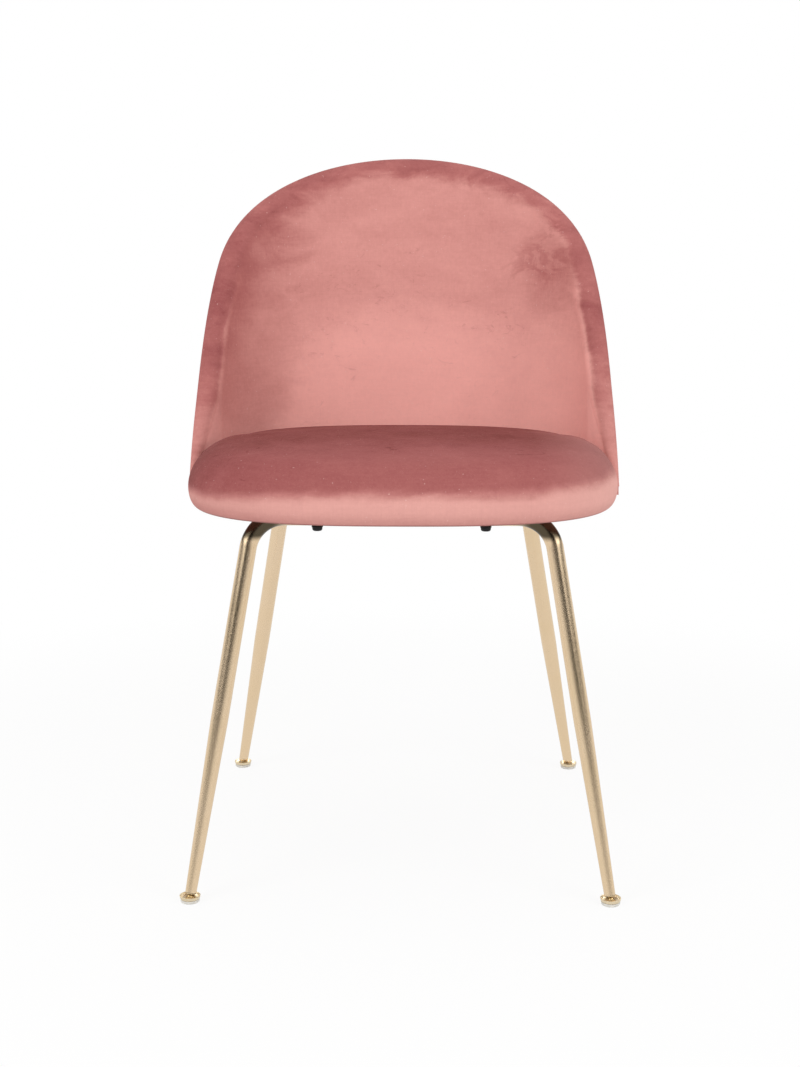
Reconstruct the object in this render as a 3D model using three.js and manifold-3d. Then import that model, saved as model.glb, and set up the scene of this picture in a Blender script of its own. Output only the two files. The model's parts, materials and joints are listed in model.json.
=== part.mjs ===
// Scallop back dining chair: a padded seat, an arched shell back that wraps
// round the rear half of the seat, two bent tube leg frames and four tilting
// glides. Millimetres, X to the right, Y to the back, Z up.
import * as THREE from 'three';
import { mergeVertices } from 'three/addons/utils/BufferGeometryUtils.js';
import Module from 'manifold-3d';

const wasm = await Module();
wasm.setup();

// Clearances
const fitGap = 0.3;
const cutOverrun = 2;

// Plan of the back shell's outer face: the rear half of a superellipse
const shellHalfWidth = 257.5;
const shellHalfDepth = 205;
const planCornerShare = 0.8;
const leanDegrees = 10;
const leanStartRise = 48;

// Rim of the back, laid out flat: shares of half the plan's length, and rises
// above the back's lower edge
const backRise = 403.2;
const topHandle = 146;
const shoulderShare = 0.702;
const shoulderRise = 278.3;
const shoulderHandle = 58;
const flankDegrees = 63;
const flankHandle = 84;
const tipShare = 0.928;
const tipRise = 11;
const backBottomDrop = 4;

// Layers of the back, from its outer face inward
const coverThickness = 1.5;
const waddingThickness = 3;
const plywoodThickness = 8;
const backThickness = 28;
const rimMiddleDepth = 12;
const rimOuterRoll = 10;
const rimInnerRoll = 18;
const plywoodRimInset = 9;
const seamInset = 12;
const backFoamClearance = 2.8;
const tipTaperLength = 34;
const tipThicknessShare = 0.4;
const innerLayerShare = 0.6;

// Seat: its front half is a superellipse, its rear half follows the back
const seatSideInset = 11;
const seatFrontDepth = 238;
const seatCornerShare = 0.71;
const creaseGap = 3.2;
const seatBottomDrop = 5.8;
const seatWideRise = 20;
const seatRollHeight = 41.5;
const seatCrownHeight = 13.5;
const seatRollShare = 0.18;
const seatTopShares = [0, 0.4, 0.75, 0.87, 0.94, 0.98, 1];
const seatMiddleDepth = 20;
const bottomRollShare = 0.036;
const leanFadeDepth = 45;
const hemOuterShare = 0.905;
const hemInnerShare = 0.8;
const boardShare = 0.9;
const boardThickness = 15;
const dustCoverThickness = 0.6;

// Leg frames: each is one tube bent into two legs and a cross piece
const tubeRadius = 9.5;
const tubeEndRadius = 6;
const tubeWall = 1.3;
const tubeHeight = 398.3;
const bendRadius = 40;
const taperLength = 185;
const frontFootWidth = 224;
const frontFootReach = 110;
const frontKneeWidth = 162;
const frontKneeInset = 93;
const rearFootWidth = 219;
const rearFootReach = 99;
const rearKneeWidth = 148;
const rearKneeInset = 48.2;
const railWidth = 26;
const railThickness = 3;

// Bolts that hold the leg frames and rails to the seat board
const frontBoltWidth = 92;
const rearBoltWidth = 76;
const boltRadius = 3;
const boltHoleRadius = 3.4;
const boltHeadRadius = 5.6;
const boltHeadHeight = 3.6;
const boltDomeShares = [[0.6, 1], [0.92, 0.7], [1, 0.4]];
const washerRadius = 6.2;
const washerThickness = 1.6;
const nutBarrelRadius = 4.6;
const nutFlangeRadius = 9.5;
const nutFlangeThickness = 1.5;
const nutBarrelLength = 10;

// Glides: a ball stud in a plug at each leg's end, held by the socket of a
// plastic foot pad that carries a metal cup
const ballRadius = 3.5;
const ballHeight = 4.6;
const ballToTube = 5.1;
const neckRadius = 1.8;
const stemRadius = 1.6;
const stemHeadRadius = 2.8;
const stemHeadLength = 2;
const plugLength = 16;
const plugFlangeThickness = 0.8;
const padRadius = 10.1;
const padThickness = 3.4;
const padEdge = 0.8;
const socketRadius = 5.2;
const socketRise = 1.6;
const cupRimRadius = 11.2;
const cupHeight = 7.3;
const cupWall = 1;

// Angle brackets between the seat board and the back shell
const bracketWidth = 20;
const bracketThickness = 2.5;
const bracketReach = 68;
const bracketRise = 27;
const bracketGap = 0.95;
const sideBracketShare = 0.7116;
const screwRadius = 2;
const screwHoleRadius = 2.4;
const screwHeadRadius = 4;
const screwHeadHeight = 2.4;
const screwHeadShare = 0.8;
const seatScrewLength = 12;
const shellScrewLength = 6;
const seatScrewInset = 14;
const shellScrewRise = 17;

// Fineness of the meshes
const topColumnCount = 10;
const flankColumnCount = 7;
const rollStepCount = 3;
const seatRearStepCount = 10;
const seatFrontStepCount = 8;
const outlineSegmentCount = 42;
const tubeSideCount = 12;
const bendStepCount = 6;
const roundSideCount = 12;
const glideSideCount = 16;
const ballStepCount = 5;
const quarterTurn = Math.PI / 2;
const radians = THREE.MathUtils.degToRad;

// Sizes that follow from the values above
const seatHalfWidth = shellHalfWidth - seatSideInset;
const frontKneeDepth = frontKneeInset - seatFrontDepth;
const frontFootDepth = frontKneeDepth - frontFootReach;
const rearKneeDepth = hemInnerShare * (shellHalfDepth - backThickness - rearKneeInset);
const rearFootDepth = rearKneeDepth + rearFootReach;
const seatBottomHeight = tubeHeight + tubeRadius - seatBottomDrop;
const seatWideHeight = seatBottomHeight + seatWideRise;
const leanStartHeight = seatBottomHeight + leanStartRise;
const backBottomHeight = seatBottomHeight - backBottomDrop;
const backTopHeight = backBottomHeight + backRise;
const railBottom = tubeHeight + tubeRadius + fitGap;
const railTop = railBottom + railThickness;
const dustBottom = railTop + fitGap;
const dustTop = dustBottom + dustCoverThickness;
const boardBottom = dustTop + fitGap;
const boardTop = boardBottom + boardThickness;
const hemTop = boardBottom - fitGap;
const hemBottom = hemTop - coverThickness;
const bracketTop = Math.min(hemBottom, dustBottom) - fitGap;
const backFoamBottom = bracketTop + bracketRise + backFoamClearance;
const layerDepths = stackedLayers();

function stackedLayers() {
  const rearCover = coverThickness;
  const waddingStart = rearCover + fitGap;
  const waddingEnd = waddingStart + waddingThickness;
  const plywoodStart = waddingEnd + fitGap;
  const plywoodEnd = plywoodStart + plywoodThickness;
  const foamStart = plywoodEnd + fitGap;
  const foamEnd = backThickness - coverThickness - fitGap;
  return { rearCover, waddingStart, waddingEnd, plywoodStart, plywoodEnd, foamStart, foamEnd };
}

// Materials
const velvet = new THREE.MeshStandardMaterial({ color: 0xc27f79, roughness: 0.9, metalness: 0 });
const foam = new THREE.MeshStandardMaterial({ color: 0xe9dfb4, roughness: 0.95, metalness: 0 });
const wadding = new THREE.MeshStandardMaterial({ color: 0xf2f0ea, roughness: 1, metalness: 0 });
const dustCloth = new THREE.MeshStandardMaterial({ color: 0x1c1c1e, roughness: 0.95, metalness: 0 });
const plywood = new THREE.MeshStandardMaterial({ color: 0xc9a877, roughness: 0.7, metalness: 0 });
const goldMetal = new THREE.MeshStandardMaterial({ color: 0xd9c193, roughness: 0.35, metalness: 1 });
const blackSteel = new THREE.MeshStandardMaterial({ color: 0x1b1b1d, roughness: 0.5, metalness: 0.8 });
const zincSteel = new THREE.MeshStandardMaterial({ color: 0xb9bcc0, roughness: 0.4, metalness: 1 });
const plugPlastic = new THREE.MeshStandardMaterial({ color: 0xcdbb98, roughness: 0.6, metalness: 0 });
const clearPlastic = new THREE.MeshStandardMaterial({ color: 0xdcdad2, roughness: 0.25, metalness: 0 });

const chair = new THREE.Group();

function addPiece(name, geometry, material) {
  const piece = new THREE.Mesh(geometry, material);
  piece.name = name;
  chair.add(piece);
  return piece;
}

// Closed geometry with shared vertices and its faces pointing out
function closedBody(source) {
  const bare = source.clone();
  bare.deleteAttribute('normal');
  bare.deleteAttribute('uv');
  const geometry = mergeVertices(bare);
  const { array } = geometry.index;
  const kept = [];
  for (let corner = 0; corner < array.length; corner += 3) {
    const [a, b, c] = [array[corner], array[corner + 1], array[corner + 2]];
    if (a !== b && b !== c && c !== a) {
      kept.push(a, b, c);
    }
  }
  geometry.setIndex(kept);
  if (signedVolume(geometry) < 0) {
    geometry.setIndex(kept.reverse());
  }
  return geometry;
}

function signedVolume(geometry) {
  const places = geometry.attributes.position;
  const corners = [new THREE.Vector3(), new THREE.Vector3(), new THREE.Vector3()];
  let volume = 0;
  for (let index = 0; index < geometry.index.count; index += 3) {
    corners.forEach((corner, side) => corner.fromBufferAttribute(places, geometry.index.getX(index + side)));
    volume += corners[0].dot(corners[1].clone().cross(corners[2])) / 6;
  }
  return volume;
}

// Cuts the tools out of a body
function cutFrom(body, tools) {
  let result = toManifold(body);
  for (const tool of tools) {
    result = result.subtract(toManifold(tool));
  }
  const { vertProperties, triVerts } = result.getMesh();
  const geometry = new THREE.BufferGeometry();
  geometry.setAttribute('position', new THREE.BufferAttribute(vertProperties, 3));
  geometry.setIndex(new THREE.BufferAttribute(triVerts, 1));
  return geometry;
}

function toManifold(source) {
  const geometry = closedBody(source);
  const mesh = new wasm.Mesh({
    numProp: 3,
    vertProperties: new Float32Array(geometry.attributes.position.array),
    triVerts: new Uint32Array(geometry.index.array),
  });
  mesh.merge();
  return new wasm.Manifold(mesh);
}

// A solid of revolution about Z from [radius, height] pairs
function turned(profile, sides = roundSideCount) {
  const points = profile.map(([radius, height]) => new THREE.Vector2(radius, height));
  const geometry = new THREE.LatheGeometry(points, sides);
  geometry.rotateX(quarterTurn);
  return closedBody(geometry);
}

// A cylinder standing on a point, used as a shank or as a drill
function uprightPin(radius, bottom, top, x, y, sides = roundSideCount) {
  const geometry = new THREE.CylinderGeometry(radius, radius, top - bottom, sides);
  geometry.rotateX(quarterTurn);
  geometry.translate(x, y, (top + bottom) / 2);
  return geometry;
}

// A body skinned over rings of points, with a flat cap at each end
function loftedBody(rings, capOutline) {
  const count = capOutline.length;
  const positions = rings.flat().flatMap((point) => point.toArray());
  const index = [];
  for (let ring = 0; ring < rings.length - 1; ring += 1) {
    for (let side = 0; side < count; side += 1) {
      const next = (side + 1) % count;
      const [a, b] = [ring * count + side, ring * count + next];
      index.push(a, b, b + count, a, b + count, a + count);
    }
  }
  const last = (rings.length - 1) * count;
  for (const [a, b, c] of THREE.ShapeUtils.triangulateShape(capOutline, [])) {
    const forward = THREE.ShapeUtils.isClockWise(capOutline);
    index.push(...(forward ? [a, b, c] : [c, b, a]));
    index.push(...(forward ? [last + c, last + b, last + a] : [last + a, last + b, last + c]));
  }
  const geometry = new THREE.BufferGeometry();
  geometry.setAttribute('position', new THREE.Float32BufferAttribute(positions, 3));
  geometry.setIndex(index);
  return closedBody(geometry);
}

// A point of a superellipse at a turn from its rear middle
function superellipsePoint(turn, halfWidth, halfDepth, cornerShare) {
  const across = Math.sign(turn) * Math.abs(Math.sin(turn)) ** cornerShare;
  const back = Math.abs(Math.cos(turn)) ** cornerShare;
  return new THREE.Vector3(halfWidth * across, halfDepth * back, 0);
}

// Plan of the shell
class PlanCurve extends THREE.Curve {
  getPoint(share, target = new THREE.Vector3()) {
    const turn = (share - 0.5) * Math.PI;
    return target.copy(superellipsePoint(turn, shellHalfWidth, shellHalfDepth, planCornerShare));
  }
}

const plan = new PlanCurve();
plan.arcLengthDivisions = 2000;
const planLength = plan.getLength();
const shoulderDistance = shoulderShare * planLength / 2;
const tipDistance = tipShare * planLength / 2;
const sideBracketDistance = sideBracketShare * planLength / 2;

// A point of the back: distance round the plan, height, depth inward
function backPoint(distance, height, depth) {
  const share = distance / planLength + 0.5;
  const point = plan.getPointAt(share);
  const tangent = plan.getTangentAt(share);
  const inward = new THREE.Vector3(tangent.y, -tangent.x, 0);
  point.addScaledVector(inward, depth);
  return new THREE.Vector3(point.x, point.y + (height - leanStartHeight) * wallLean(), height);
}

// Stations on the right half of the rim, laid out flat, from the top to the tip
function rimStations() {
  const flank = new THREE.Vector2(Math.cos(radians(flankDegrees)), -Math.sin(radians(flankDegrees)));
  const top = new THREE.Vector2(0, backTopHeight);
  const shoulder = new THREE.Vector2(shoulderDistance, backBottomHeight + shoulderRise);
  const tip = new THREE.Vector2(tipDistance, backBottomHeight + tipRise);
  const beforeShoulder = shoulder.clone().addScaledVector(flank, -shoulderHandle);
  const afterShoulder = shoulder.clone().addScaledVector(flank, flankHandle);
  const afterTop = new THREE.Vector2(topHandle, backTopHeight);
  const arch = new THREE.CubicBezierCurve(top, afterTop, beforeShoulder, shoulder);
  const side = new THREE.QuadraticBezierCurve(shoulder, afterShoulder, tip);
  return [...curveStations(arch, topColumnCount).slice(0, -1), ...curveStations(side, flankColumnCount)];
}

function curveStations(curve, count) {
  return Array.from({ length: count + 1 }, (_, step) => (
    { point: curve.getPoint(step / count), tangent: curve.getTangent(step / count) }));
}

// Share of its full thickness that the back keeps at a distance round the plan
function thicknessShareAt(distance) {
  const taper = THREE.MathUtils.smoothstep(tipDistance - distance, 0, tipTaperLength);
  return THREE.MathUtils.lerp(tipThicknessShare, 1, taper);
}

// Columns of the back from its left tip to its right tip
function backColumns() {
  const right = rimStations().map((station) => ({ ...station, side: 1 }));
  const left = right.slice(1).reverse().map((station) => ({ ...station, side: -1 }));
  return [...left, ...right];
}

// Place in the flat layout of an outline entry of a layer: [inset from the
// rim, depth], or ['base', depth, height] at the lower edge
function flatPlace({ point, tangent }, [inset, , baseHeight]) {
  const reach = (inset === 'base' ? rimInnerRoll : inset) * thicknessShareAt(point.x);
  const distance = point.x + reach * tangent.y;
  const height = point.y - reach * tangent.x;
  return { reach, distance, height, drop: inset === 'base' ? height - baseHeight : 0 };
}

function layerPoint(column, entry) {
  const { distance, height, drop } = flatPlace(column, entry);
  return backPoint(column.side * distance, height - drop, entry[1] * thicknessShareAt(column.point.x));
}

function capPoint(column, entry) {
  const { reach, drop } = flatPlace(column, entry);
  return new THREE.Vector2(-reach - drop, entry[1] * thicknessShareAt(column.point.x));
}

// A layer of the back, skinned over its columns
function backLayer(outline, isKept = () => true) {
  const columns = backColumns().filter(isKept);
  const rings = columns.map((column) => outline.map((entry) => layerPoint(column, entry)));
  return loftedBody(rings, outline.map((entry) => capPoint(columns.at(-1), entry)));
}

// The rolled edge at an offset inside the back's surface, from the inner
// face over the rim to the outer face
function rimRoll(offset) {
  const points = [];
  for (let step = 0; step <= rollStepCount; step += 1) {
    const turn = quarterTurn * (1 - step / rollStepCount);
    points.push([
      rimInnerRoll - (rimInnerRoll - offset) * Math.cos(turn),
      rimMiddleDepth + (backThickness - offset - rimMiddleDepth) * Math.sin(turn),
    ]);
  }
  for (let step = 1; step <= rollStepCount; step += 1) {
    const turn = quarterTurn * step / rollStepCount;
    points.push([
      rimOuterRoll - (rimOuterRoll - offset) * Math.cos(turn),
      rimMiddleDepth - (rimMiddleDepth - offset) * Math.sin(turn),
    ]);
  }
  return points;
}

function backCoverFront() {
  const outside = rimRoll(0);
  const inside = rimRoll(coverThickness).reverse();
  const outline = [
    ['base', backThickness, backBottomHeight],
    ...outside,
    [seamInset, 0],
    [seamInset, coverThickness],
    ...inside,
    ['base', backThickness - coverThickness, backBottomHeight],
  ];
  const slots = bracketPlaces().map((place) => bracketSlot(place));
  return cutFrom(backLayer(outline), slots);
}

function backCoverRear() {
  const flangeEnd = backThickness - coverThickness - fitGap;
  const flangeTop = backBottomHeight + coverThickness;
  return backLayer([
    ['base', 0, backBottomHeight],
    [rimInnerRoll, 0],
    [seamInset + fitGap, 0],
    [seamInset + fitGap, coverThickness],
    [rimInnerRoll, coverThickness],
    ['base', coverThickness, flangeTop],
    ['base', flangeEnd, flangeTop],
    ['base', flangeEnd, backBottomHeight],
  ]);
}

// A sheet between two depths, up to an inset from the rim
function backSheet(inset, start, end) {
  const bottom = backBottomHeight + coverThickness + fitGap;
  return backLayer([
    ['base', start, bottom],
    [rimInnerRoll, start],
    [inset, start],
    [inset, end],
    [rimInnerRoll, end],
    ['base', end, bottom],
  ].reverse(), reachesTip);
}

function backWadding() {
  return backSheet(seamInset + fitGap, layerDepths.waddingStart, layerDepths.waddingEnd);
}

function backShell() {
  const sheet = backSheet(plywoodRimInset, layerDepths.plywoodStart, layerDepths.plywoodEnd);
  return cutFrom(sheet, bracketPlaces().map((place) => shellScrewDrill(place)));
}

function backFoam() {
  const skin = coverThickness + fitGap;
  const nose = plywoodRimInset - fitGap;
  const lip = layerDepths.plywoodStart - fitGap;
  return backLayer([
    ['base', layerDepths.foamEnd, backFoamBottom],
    ...rimRoll(skin),
    [rimOuterRoll, lip],
    [nose, lip],
    [nose, layerDepths.foamStart],
    [rimInnerRoll, layerDepths.foamStart],
    ['base', layerDepths.foamStart, backFoamBottom],
  ].reverse(), reachesTip);
}

// The inner layers stop where the back has thinned toward its tips
function reachesTip({ point }) {
  return thicknessShareAt(point.x) > innerLayerShare && point.y > backFoamBottom + rimInnerRoll;
}

// Seat outline: the inside of the back at the rear, wider in front of its tips
function seatOutlineLoop() {
  const rear = [];
  for (let step = 0; step <= seatRearStepCount; step += 1) {
    const distance = tipDistance * step / seatRearStepCount;
    const inset = backThickness * thicknessShareAt(distance) + creaseGap;
    const point = backPoint(distance, leanStartHeight, inset);
    rear.push(new THREE.Vector3(point.x, point.y, 0));
  }
  const front = [];
  for (let step = seatFrontStepCount; step >= 0; step -= 1) {
    const turn = quarterTurn * step / seatFrontStepCount;
    front.push(superellipsePoint(turn, seatHalfWidth, -seatFrontDepth, seatCornerShare));
  }
  const right = [...rear, ...front];
  const left = right.slice(1, -1).reverse().map((point) => new THREE.Vector3(-point.x, point.y, 0));
  const loop = new THREE.CatmullRomCurve3([...right, ...left], true, 'centripetal');
  loop.arcLengthDivisions = 1200;
  return loop;
}

const seatOutline = seatOutlineLoop();
const seatMiddle = new THREE.Vector3(0, -seatMiddleDepth, 0);

// How far a point of the outline is inside the back, from 0 to 1
function rearShareOf(outlinePoint) {
  return THREE.MathUtils.smoothstep(outlinePoint.y, 0, leanFadeDepth);
}

// A body whose level sections are the seat outline, from [share of the
// outline, height, height at the rear] entries; its rear leans with the back
function padBody(profile) {
  const points = profile.map(([share, height]) => new THREE.Vector2(share, height));
  const geometry = new THREE.LatheGeometry(points, outlineSegmentCount);
  const places = geometry.attributes.position;
  const uv = geometry.attributes.uv;
  for (let vertex = 0; vertex < places.count; vertex += 1) {
    const [share, frontHeight, rearHeight = frontHeight] = profile[vertex % profile.length];
    const outlinePoint = seatOutline.getPointAt(uv.getX(vertex) % 1);
    const rearShare = rearShareOf(outlinePoint);
    const height = THREE.MathUtils.lerp(frontHeight, rearHeight, rearShare);
    const place = seatMiddle.clone().lerp(outlinePoint, share);
    const lean = (height - leanStartHeight) * wallLean() * rearShare * share;
    places.setXYZ(vertex, place.x, place.y + lean, height);
  }
  return closedBody(geometry);
}

// Height of the seat's upper surface at a share of its outline
function seatTop(share, offset) {
  const inRoll = Math.max(0, (share - 1 + seatRollShare) / seatRollShare);
  const roll = (seatRollHeight - offset) * Math.sqrt(Math.max(0, 1 - inRoll ** 2));
  return seatWideHeight + roll + seatCrownHeight * (1 - share ** 2);
}

// The seat's skin at an offset inward, from the middle of the top to the
// lowest point of the roll under its edge
function seatSkin(offset, offsetShare) {
  const skin = seatTopShares.map((share) => [share * (1 - offsetShare), seatTop(share, offset)]);
  const bottom = seatBottomHeight + offset;
  const rearBottom = hemBottom + offset;
  for (let step = 1; step <= rollStepCount; step += 1) {
    const turn = quarterTurn * step / rollStepCount;
    const rise = 1 - Math.sin(turn);
    skin.push([
      1 - offsetShare - bottomRollShare * (1 - Math.cos(turn)),
      THREE.MathUtils.lerp(bottom, seatWideHeight, rise),
      THREE.MathUtils.lerp(rearBottom, seatWideHeight, rise),
    ]);
  }
  return skin;
}

function seatCover() {
  const inside = seatSkin(coverThickness, coverThickness / seatFrontDepth).reverse();
  const body = padBody([
    ...seatSkin(0, 0),
    [hemOuterShare, hemBottom],
    [hemInnerShare, hemBottom],
    [hemInnerShare, hemTop],
    [hemOuterShare, hemTop],
    ...inside,
  ]);
  return cutFrom(body, bracketPlaces().map((place) => seatScrewDrill(place)));
}

function seatFoam() {
  const skinGap = coverThickness + fitGap;
  const gapShare = fitGap / seatFrontDepth;
  const body = padBody([
    ...seatSkin(skinGap, skinGap / seatFrontDepth),
    [hemOuterShare + gapShare, boardBottom],
    [boardShare + gapShare, boardBottom],
    [boardShare + gapShare, boardTop + fitGap],
    [0, boardTop + fitGap],
  ].reverse());
  const pocketTop = boardTop + fitGap + nutFlangeThickness + fitGap;
  const pockets = boltPlaces().map(({ x, y }) => (
    uprightPin(nutFlangeRadius + fitGap, boardTop - cutOverrun, pocketTop, x, y)));
  return cutFrom(body, pockets);
}

// A flat sheet under the pad, cut by drills
function padSheet(share, bottom, top, drills) {
  return cutFrom(padBody([[0, top], [share, top], [share, bottom], [0, bottom]]), drills);
}

function seatBoard() {
  const nutHoles = boltPlaces().map(({ x, y }) => (
    uprightPin(nutBarrelRadius + fitGap, boardBottom - cutOverrun, boardTop + cutOverrun, x, y)));
  const screwHoles = bracketPlaces().map((place) => seatScrewDrill(place));
  return padSheet(boardShare, boardBottom, boardTop, [...nutHoles, ...screwHoles]);
}

function seatDustCover() {
  const boltHoles = boltPlaces().map(({ x, y }) => (
    uprightPin(boltHoleRadius, dustBottom - cutOverrun, dustTop + cutOverrun, x, y)));
  const screwHoles = bracketPlaces().map((place) => seatScrewDrill(place));
  const edgeShare = hemInnerShare - fitGap / seatFrontDepth;
  return padSheet(edgeShare, dustBottom, dustTop, [...boltHoles, ...screwHoles]);
}

// A bend between two straight runs of tube
class BendCurve extends THREE.Curve {
  constructor(start, centre, axis, turn) {
    super();
    Object.assign(this, { start, centre, axis, turn });
  }

  getPoint(share, target = new THREE.Vector3()) {
    target.copy(this.start).sub(this.centre).applyAxisAngle(this.axis, this.turn * share);
    return target.add(this.centre);
  }
}

// A path of straight runs joined by bends, with the stations a tube needs
function bentPath(corners, radius) {
  const path = new THREE.CurvePath();
  const stations = [0];
  let start = corners[0];
  let length = 0;
  for (let index = 1; index < corners.length - 1; index += 1) {
    const corner = corners[index];
    const inward = corner.clone().sub(corners[index - 1]).normalize();
    const outward = corners[index + 1].clone().sub(corner).normalize();
    const turn = inward.angleTo(outward);
    const setback = radius * Math.tan(turn / 2);
    const bendStart = corner.clone().addScaledVector(inward, -setback);
    const axis = inward.clone().cross(outward).normalize();
    const centre = bendStart.clone().addScaledVector(axis.clone().cross(inward), radius);
    path.add(new THREE.LineCurve3(start, bendStart));
    path.add(new BendCurve(bendStart, centre, axis, turn));
    length += start.distanceTo(bendStart);
    for (let step = 0; step <= bendStepCount; step += 1) {
      stations.push(length + radius * turn * step / bendStepCount);
    }
    length += radius * turn;
    start = corner.clone().addScaledVector(outward, setback);
  }
  path.add(new THREE.LineCurve3(start, corners.at(-1)));
  length += start.distanceTo(corners.at(-1));
  stations.push(length);
  return { path, stations, length };
}

// Two tapered legs and the cross piece between them, from one tube
function legFrame(frame) {
  const corners = [legEnd(frame, 1), knee(frame, 1), knee(frame, -1), legEnd(frame, -1)];
  const { path, stations, length } = bentPath(corners, bendRadius);
  const along = [
    ...stations.slice(0, 1), taperLength, ...stations.slice(1, -1), length - taperLength, length,
  ];
  const outer = along.map((station) => new THREE.Vector2(tubeRadiusAt(station, length), station));
  const bore = outer.map(({ x, y }) => new THREE.Vector2(x - tubeWall, y)).reverse();
  const geometry = new THREE.LatheGeometry([...outer, ...bore, outer[0]], tubeSideCount);
  const normal = corners[1].clone().sub(corners[0]).cross(corners[2].clone().sub(corners[1])).normalize();
  const places = geometry.attributes.position;
  for (let vertex = 0; vertex < places.count; vertex += 1) {
    const share = THREE.MathUtils.clamp(places.getY(vertex) / length, 0, 1);
    const tangent = path.getTangent(share);
    const side = normal.clone().cross(tangent).normalize();
    const place = path.getPoint(share);
    place.addScaledVector(side, places.getX(vertex));
    place.addScaledVector(normal, places.getZ(vertex));
    places.setXYZ(vertex, place.x, place.y, place.z);
  }
  const drills = [-1, 1].map((side) => uprightPin(
    boltHoleRadius,
    tubeHeight - tubeRadius - cutOverrun,
    tubeHeight + tubeRadius + cutOverrun,
    side * frame.boltWidth,
    frame.kneeDepth,
  ));
  return cutFrom(closedBody(geometry), drills);
}

function tubeRadiusAt(station, length) {
  const fromEnd = Math.min(station, length - station);
  return THREE.MathUtils.lerp(tubeEndRadius, tubeRadius, Math.min(1, fromEnd / taperLength));
}

// Places of a leg frame: side is 1 on the right and -1 on the left
function ballCentre(frame, side) {
  return new THREE.Vector3(side * frame.footWidth, frame.footDepth, ballHeight);
}

function knee(frame, side) {
  return new THREE.Vector3(side * frame.kneeWidth, frame.kneeDepth, tubeHeight);
}

function legDirection(frame, side) {
  return knee(frame, side).sub(ballCentre(frame, side)).normalize();
}

function legEnd(frame, side) {
  return ballCentre(frame, side).addScaledVector(legDirection(frame, side), ballToTube);
}

// A flat bar under the seat board that ties the two leg frames
function frameRail(side) {
  const [front, rear] = [frontFrame, rearFrame].map((frame) => (
    new THREE.Vector2(side * frame.boltWidth, frame.kneeDepth)));
  const run = rear.clone().sub(front);
  const middle = rear.clone().add(front).divideScalar(2);
  const bar = new THREE.BoxGeometry(run.length() + railWidth, railWidth, railThickness);
  bar.rotateZ(run.angle());
  bar.translate(middle.x, middle.y, railBottom + railThickness / 2);
  const drills = [front, rear].map(({ x, y }) => (
    uprightPin(boltHoleRadius, railBottom - cutOverrun, railTop + cutOverrun, x, y)));
  return cutFrom(bar, drills);
}

// Fasteners of the leg frames, on the axis of each bolt
function washer() {
  const top = tubeHeight - tubeRadius - fitGap;
  const bottom = top - washerThickness;
  return turned([
    [boltHoleRadius, bottom], [washerRadius, bottom], [washerRadius, top],
    [boltHoleRadius, top], [boltHoleRadius, bottom],
  ]);
}

function bolt() {
  const headTop = tubeHeight - tubeRadius - washerThickness - 2 * fitGap;
  const dome = boltDomeShares.map(([across, down]) => (
    [boltHeadRadius * across, headTop - boltHeadHeight * down]));
  return turned([
    [0, headTop - boltHeadHeight],
    ...dome,
    [boltHeadRadius, headTop],
    [boltRadius, headTop],
    [boltRadius, boardTop - fitGap],
    [0, boardTop - fitGap],
  ]);
}

function teeNut() {
  const flangeTop = boardTop + fitGap + nutFlangeThickness;
  const bottom = boardTop - nutBarrelLength;
  return turned([
    [boltHoleRadius, bottom],
    [nutBarrelRadius, bottom],
    [nutBarrelRadius, boardTop + fitGap],
    [nutFlangeRadius, boardTop + fitGap],
    [nutFlangeRadius, flangeTop],
    [boltHoleRadius, flangeTop],
    [boltHoleRadius, bottom],
  ]);
}

function boltPlaces() {
  return [frontFrame, rearFrame].flatMap((frame) => [
    { x: -frame.boltWidth, y: frame.kneeDepth, name: `${frame.name}_left` },
    { x: frame.boltWidth, y: frame.kneeDepth, name: `${frame.name}_right` },
  ]);
}

// Glide pieces, built round the ball's centre
function arcPoints(radius, fromTurn, toTurn, height) {
  const points = [];
  for (let step = 0; step <= ballStepCount; step += 1) {
    const turn = THREE.MathUtils.lerp(fromTurn, toTurn, step / ballStepCount);
    points.push([radius * Math.cos(turn), height + radius * Math.sin(turn)]);
  }
  return points;
}

function ballStud() {
  const neckTop = ballToTube - plugFlangeThickness - fitGap;
  const plugTop = ballToTube + plugLength;
  const ball = arcPoints(ballRadius, -quarterTurn, Math.acos(neckRadius / ballRadius), 0);
  ball[0][0] = 0;
  return turned([
    ...ball,
    [neckRadius, neckTop],
    [stemRadius, neckTop],
    [stemRadius, plugTop + fitGap],
    [stemHeadRadius, plugTop + fitGap],
    [stemHeadRadius, plugTop + fitGap + stemHeadLength],
    [0, plugTop + fitGap + stemHeadLength],
  ]);
}

function legPlug() {
  const flangeTop = ballToTube - fitGap;
  const flangeBottom = flangeTop - plugFlangeThickness;
  const plugRadius = tubeEndRadius - tubeWall - fitGap;
  const top = ballToTube + plugLength;
  const bore = stemRadius + fitGap;
  return turned([
    [bore, flangeBottom],
    [tubeEndRadius, flangeBottom],
    [tubeEndRadius, flangeTop],
    [plugRadius, flangeTop],
    [plugRadius, top],
    [bore, top],
    [bore, flangeBottom],
  ]);
}

function glidePad() {
  const socket = ballRadius + fitGap;
  const inside = arcPoints(socket, Math.asin(socketRise / socket), -quarterTurn, ballHeight);
  inside.at(-1)[0] = 0;
  return turned([
    [0, 0],
    [padRadius - padEdge, 0],
    [padRadius, padEdge],
    [padRadius, padThickness],
    [socketRadius, padThickness],
    [socketRadius, ballHeight + socketRise],
    ...inside,
  ], glideSideCount);
}

function glideCup() {
  const bottom = padThickness + fitGap;
  const floor = bottom + cupWall;
  const hole = socketRadius + fitGap;
  return turned([
    [hole, bottom],
    [padRadius, bottom],
    [cupRimRadius, cupHeight],
    [cupRimRadius - cupWall, cupHeight],
    [padRadius - cupWall, floor],
    [hole, floor],
    [hole, bottom],
  ], glideSideCount);
}

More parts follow.
